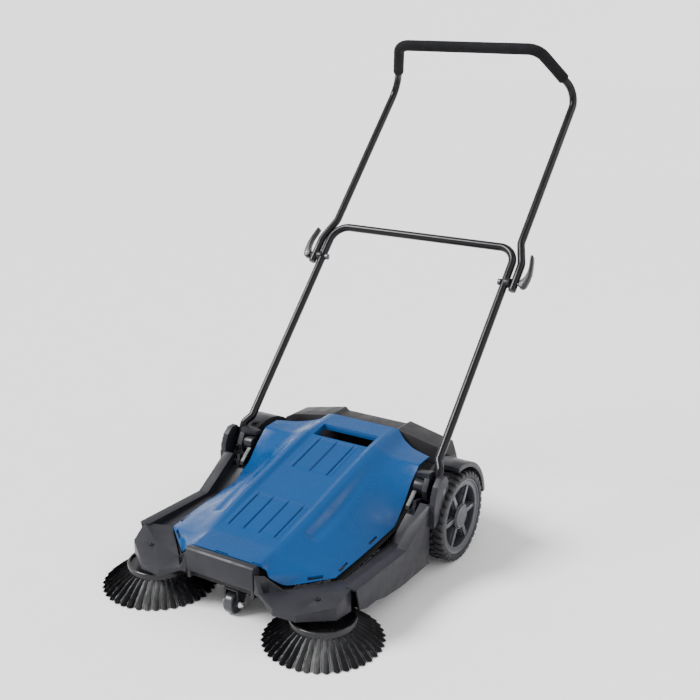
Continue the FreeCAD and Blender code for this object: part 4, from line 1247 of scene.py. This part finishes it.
@dataclass
class Caster:
    """The swivelling front roller that sets the working height."""

    y: float = -475.0
    z: float = 25.0

    def build(self) -> None:
        """Makes the fork and the wheel and dresses the axle."""
        yoke = softened("caster_fork", "caster_yoke", TRIM_BLACK, 1.0)
        fit(yoke, "caster_swivel", "trim_black", "caster_fork")
        half = [(4.1, -13.2), (9.0, -13.2), (9.6, -12.6), (9.6, -10.4), (17.0, -10.0), (22.0, -11.0),
                (23.8, -10.2), (24.8, -8.0), (25.0, -5.0)]
        section = half + [(24.6, 0.0)] + [(r, -h) for r, h in reversed(half)]
        place = Matrix.Translation((0, self.y, self.z)) @ Matrix.Rotation(math.pi / 2, 4, "Y")
        wheel = piece("caster_roller", lathe(section, 64).turned(place), CASTER_GREY)
        fit(wheel, "caster_wheel", "caster_grey", "caster_wheel")
        dress_node("caster_axle", STEEL)


# ---------------------------------------------------------------- handle
def along(start: tuple[float, float], lean: float, distance: float, x: float) -> Vector:
    """A point up a leg that leans back from upright by an angle in degrees."""
    angle = math.radians(lean)
    return Vector((x, start[0] + distance * math.sin(angle), start[1] + distance * math.cos(angle)))


@dataclass
class Handle:
    """Lower and upper tube frames, the foam grip, the quick levers and the clamps."""

    tube_r: float = 10.0
    pivot: tuple[float, float] = (-82.0, 201.0)
    pivot_x: float = 276.0
    foot_lean: float = 27.0
    foot_length: float = 46.0
    leg_start: tuple[float, float] = (-92.0, 207.0)
    lower_lean: float = 43.3
    lower_length: float = 642.0
    lower_half: float = 263.0
    joint_at: float = 545.0
    jog_x: float = 288.0
    upper_lean: float = 43.7
    upper_length: float = 600.0
    upper_half: float = 267.0
    grip: tuple[float, float, float] = (200.0, 566.0, 1138.0)
    foam_r: float = 14.5

    def _frame(self, right: list[Vector], radii: list[float]) -> list[Vector]:
        """The middle line of a U frame from the points of its right leg."""
        left = [Vector((-p.x, p.y, p.z)) for p in reversed(right)]
        return bent_path(right + left, radii + radii[::-1])

    def _lower(self) -> bpy.types.Object:
        """The lower frame, whose feet jog outwards into the clamps."""
        right = [along(self.pivot, self.foot_lean, -7, self.pivot_x),
                 along(self.pivot, self.foot_lean, self.foot_length, self.pivot_x),
                 along(self.leg_start, self.lower_lean, 68, self.lower_half),
                 along(self.leg_start, self.lower_lean, self.lower_length, self.lower_half)]
        return piece("lower_tube", swept(self._frame(right, [14, 14, 45]), self.tube_r), TUBE_BLACK, 1.2, 3)

    def _upper_points(self) -> list[Vector]:
        """Corners of the upper frame's right leg, from its lower end to the grip bar."""
        start = along(self.leg_start, self.lower_lean, self.joint_at - 20, self.jog_x)
        foot = (start.y, start.z)
        rises = ((76, self.jog_x), (134, self.upper_half), (self.upper_length, self.upper_half))
        leg = [along(foot, self.upper_lean, distance, x) for distance, x in rises]
        return [start, *leg, Vector(self.grip)]

    def _upper(self) -> bpy.types.Object:
        """The upper frame with its jogged lower ends."""
        line = self._frame(self._upper_points(), [40, 40, 48, 42])
        return piece("upper_tube", swept(line, self.tube_r), TUBE_BLACK, 1.2, 3)

    def _foam(self) -> bpy.types.Object:
        """The foam sleeve over the grip bar and down both corners."""
        top, corner = self._upper_points()[-2:]
        end = corner + (top - corner) * 0.66
        left = [Vector((-p.x, p.y, p.z)) for p in (corner, end)]
        coarse = bent_path([end, corner, *left], [42, 42], 3.0)
        line = [coarse[0]]
        for point in coarse[1:]:
            count = max(1, round((point - line[-1]).length / 3.0))
            first = line[-1]
            line += [first.lerp(point, k / count) for k in range(1, count + 1)]
        length = sum((b - a).length for a, b in zip(line, line[1:]))
        wobble = random.Random(3)
        phases = [(wobble.uniform(0, math.tau), wobble.uniform(0.02, 0.09)) for _ in range(5)]

        def radius(distance: float) -> float:
            """The sleeve's radius, soft at its ends and a little uneven."""
            edge = min(distance, length - distance)
            soft = self.foam_r - 2.6 * max(0.0, 1 - edge / 4.0) ** 2
            return soft - 0.12 + 0.07 * sum(math.sin(p + distance * f) for p, f in phases) / 2

        return piece("foam_sleeve", swept(line, radius, 32), FOAM_BLACK, 0.0)

    def _levers(self) -> None:
        """The cam levers at the joint between the two frames."""
        joint = along(self.leg_start, self.lower_lean, self.joint_at, 0)
        pin_x = self.jog_x + self.tube_r + 12
        outline = [(-8, -7), (-2, -10), (6, -9), (10, -2), (12.5, 14), (13, 32), (10.5, 50), (6.5, 68),
                   (2.5, 81), (-1.5, 83), (-4.5, 80), (-2.5, 66), (1.5, 48), (2, 32), (-1, 20), (-5, 13), (-9.5, 8), (-10, 0)]
        arm = prism(rounded(outline, 3.5, 3), "y", -8.0, 8.0)
        back = Matrix.Rotation(-math.radians(self.lower_lean), 4, "X")
        lean = Matrix.Translation((pin_x, joint.y, joint.z)) @ back
        for side, hand in ((1, "right"), (-1, "left")):
            solid = arm.turned(lean)
            if side < 0:
                solid = solid.mirrored()
            obj = piece(f"cam_lever_{hand}", solid, TRIM_BLACK, 2.4, 3, 50)
            fit(obj, f"lever_{hand}", "trim_black", f"quick_lever_{hand}")

    def build(self) -> None:
        """Makes the handle's pieces."""
        fit(self._lower(), "lower_handle", "tube_black", "lower_handle_frame")
        fit(self._upper(), "upper_handle", "tube_black", "upper_handle_frame")
        foam = fit(self._foam(), "upper_handle", "foam_black", "foam_grip")
        self._levers()
        for hand in ("left", "right"):
            knob = softened(f"clamp_knob_{hand}", f"clamp_{hand}_knob", TRIM_BLACK, 1.2, 3)
            fit(knob, f"clamp_{hand}", "trim_black", f"clamp_knob_{hand}")
            dress_node(f"handle_plug_{hand}", TRIM_BLACK)
        saddles = softened("joint_saddles", "tube_saddles", TRIM_BLACK, 0.8)
        fit(saddles, "lower_handle", "trim_black", "joint_saddles")
        dress_node("joint_bolts", DARK_STEEL)


# ---------------------------------------------------------------- container
@dataclass
class Container:
    """The waste container behind the main brush."""

    def build(self) -> None:
        """Makes the container's shell and its bow grip."""
        shell = softened("waste_container", "container_shell", LID_GREY, 2.6, 3)
        fit(shell, "container", "chassis_plastic", "waste_container")
        grip = softened("container_grip", "container_bow", TRIM_BLACK, 0.0)
        fit(grip, "container", "trim_black", "container_grip")


# ---------------------------------------------------------------- studio
def outward(azimuth: float, elevation: float) -> Vector:
    """The direction from the machine at an azimuth and an elevation in degrees."""
    az = math.radians(azimuth)
    el = math.radians(elevation)
    return Vector((math.sin(az) * math.cos(el), -math.cos(az) * math.cos(el), math.sin(el)))


@dataclass
class Studio:
    """Floor, lights and camera."""

    azimuth: float = 31.6
    elevation: float = 17.8
    distance: float = 2.733
    roll: float = 0.3
    target: tuple[float, float, float] = (-0.0644, 0.0585, 0.4248)
    lens: float = 56.5

    def _floor(self) -> None:
        """A pale floor that rises a little far away, so that no horizon shows."""
        mesh = bpy.data.meshes.new("studio_floor")
        sides = 64
        rings = ((6.0, 0.0), (12.0, 0.25), (24.0, 1.6), (48.0, 6.0), (90.0, 16.0))
        corners = [(r * math.cos(math.tau * k / sides), r * math.sin(math.tau * k / sides), z)
                   for r, z in rings for k in range(sides)]
        faces = [tuple(range(sides))]
        for start in range(0, (len(rings) - 1) * sides, sides):
            faces += [(start + k, start + sides + k, start + sides + (k + 1) % sides, start + (k + 1) % sides)
                      for k in range(sides)]
        mesh.from_pydata(corners, [], faces)
        floor = add_object("studio_floor", mesh)
        finish = Finish("studio_floor", (0.86, 0.86, 0.87), 0.75, Grain.RUBBER, 0.01, 0.02, specular=0.2)
        mesh.materials.append(finish.material())

    def _light(self, name: str, place: tuple[float, float, float], size: float, power: float) -> None:
        """A square soft light that faces the machine.

        Args:
            name: The light's name.
            place: Where it stands, in metres.
            size: The length of its sides, in metres.
            power: Its power in watts.
        """
        light = bpy.data.lights.new(name, "AREA")
        light.shape = "SQUARE"
        light.size = size
        light.energy = power
        obj = add_object(name, light)
        obj.location = place
        obj.rotation_euler = (Vector((0, 0, 0.3)) - Vector(place)).to_track_quat("-Z", "Y").to_euler()

    @staticmethod
    def _sun(name: str, azimuth: float, elevation: float, spread: float, power: float) -> None:
        """A broad far light.

        Args:
            name: The light's name.
            azimuth: Where it stands round the machine, in degrees, as for the camera.
            elevation: How high it stands, in degrees.
            spread: How broad it looks from the machine, in degrees.
            power: Its strength.
        """
        light = bpy.data.lights.new(name, "SUN")
        light.energy = power
        light.angle = math.radians(spread)
        obj = add_object(name, light)
        obj.rotation_euler = outward(azimuth, elevation).to_track_quat("Z", "Y").to_euler()

    def _camera(self) -> None:
        """The main view."""
        away = outward(self.azimuth, self.elevation)
        camera = bpy.data.cameras.new("main_view")
        camera.lens = self.lens
        camera.sensor_width = 36.0
        obj = add_object("main_view", camera)
        obj.location = Vector(self.target) + away * self.distance
        turn = (-away).to_track_quat("-Z", "Y").to_matrix().to_4x4()
        obj.rotation_euler = (turn @ Matrix.Rotation(math.radians(self.roll), 4, "Z")).to_euler()
        bpy.context.scene.camera = obj

    def build(self) -> None:
        """Makes the studio."""
        world = bpy.data.worlds.new("studio_air")
        world.use_nodes = True
        world.node_tree.nodes["Background"].inputs["Color"].default_value = (1.0, 1.0, 1.0, 1.0)
        world.node_tree.nodes["Background"].inputs["Strength"].default_value = 1.0
        bpy.context.scene.world = world
        self._floor()
        self._sun("key", -52.0, 46.0, 24.0, 5.4)
        self._sun("fill", 80.0, 30.0, 50.0, 0.7)
        self._light("streak", (1.9, 1.0, 2.2), 0.7, 7.0)
        self._camera()


def main() -> None:
    """Builds the studio and the sweeper's pieces in order."""
    Studio().build()
    Hood().build()
    Chassis().build()
    Container().build()
    Wheel().build()
    SideBrush().build()
    MainBrush().build()
    Caster().build()
    Handle().build()


if __name__ == "__main__":
    main()
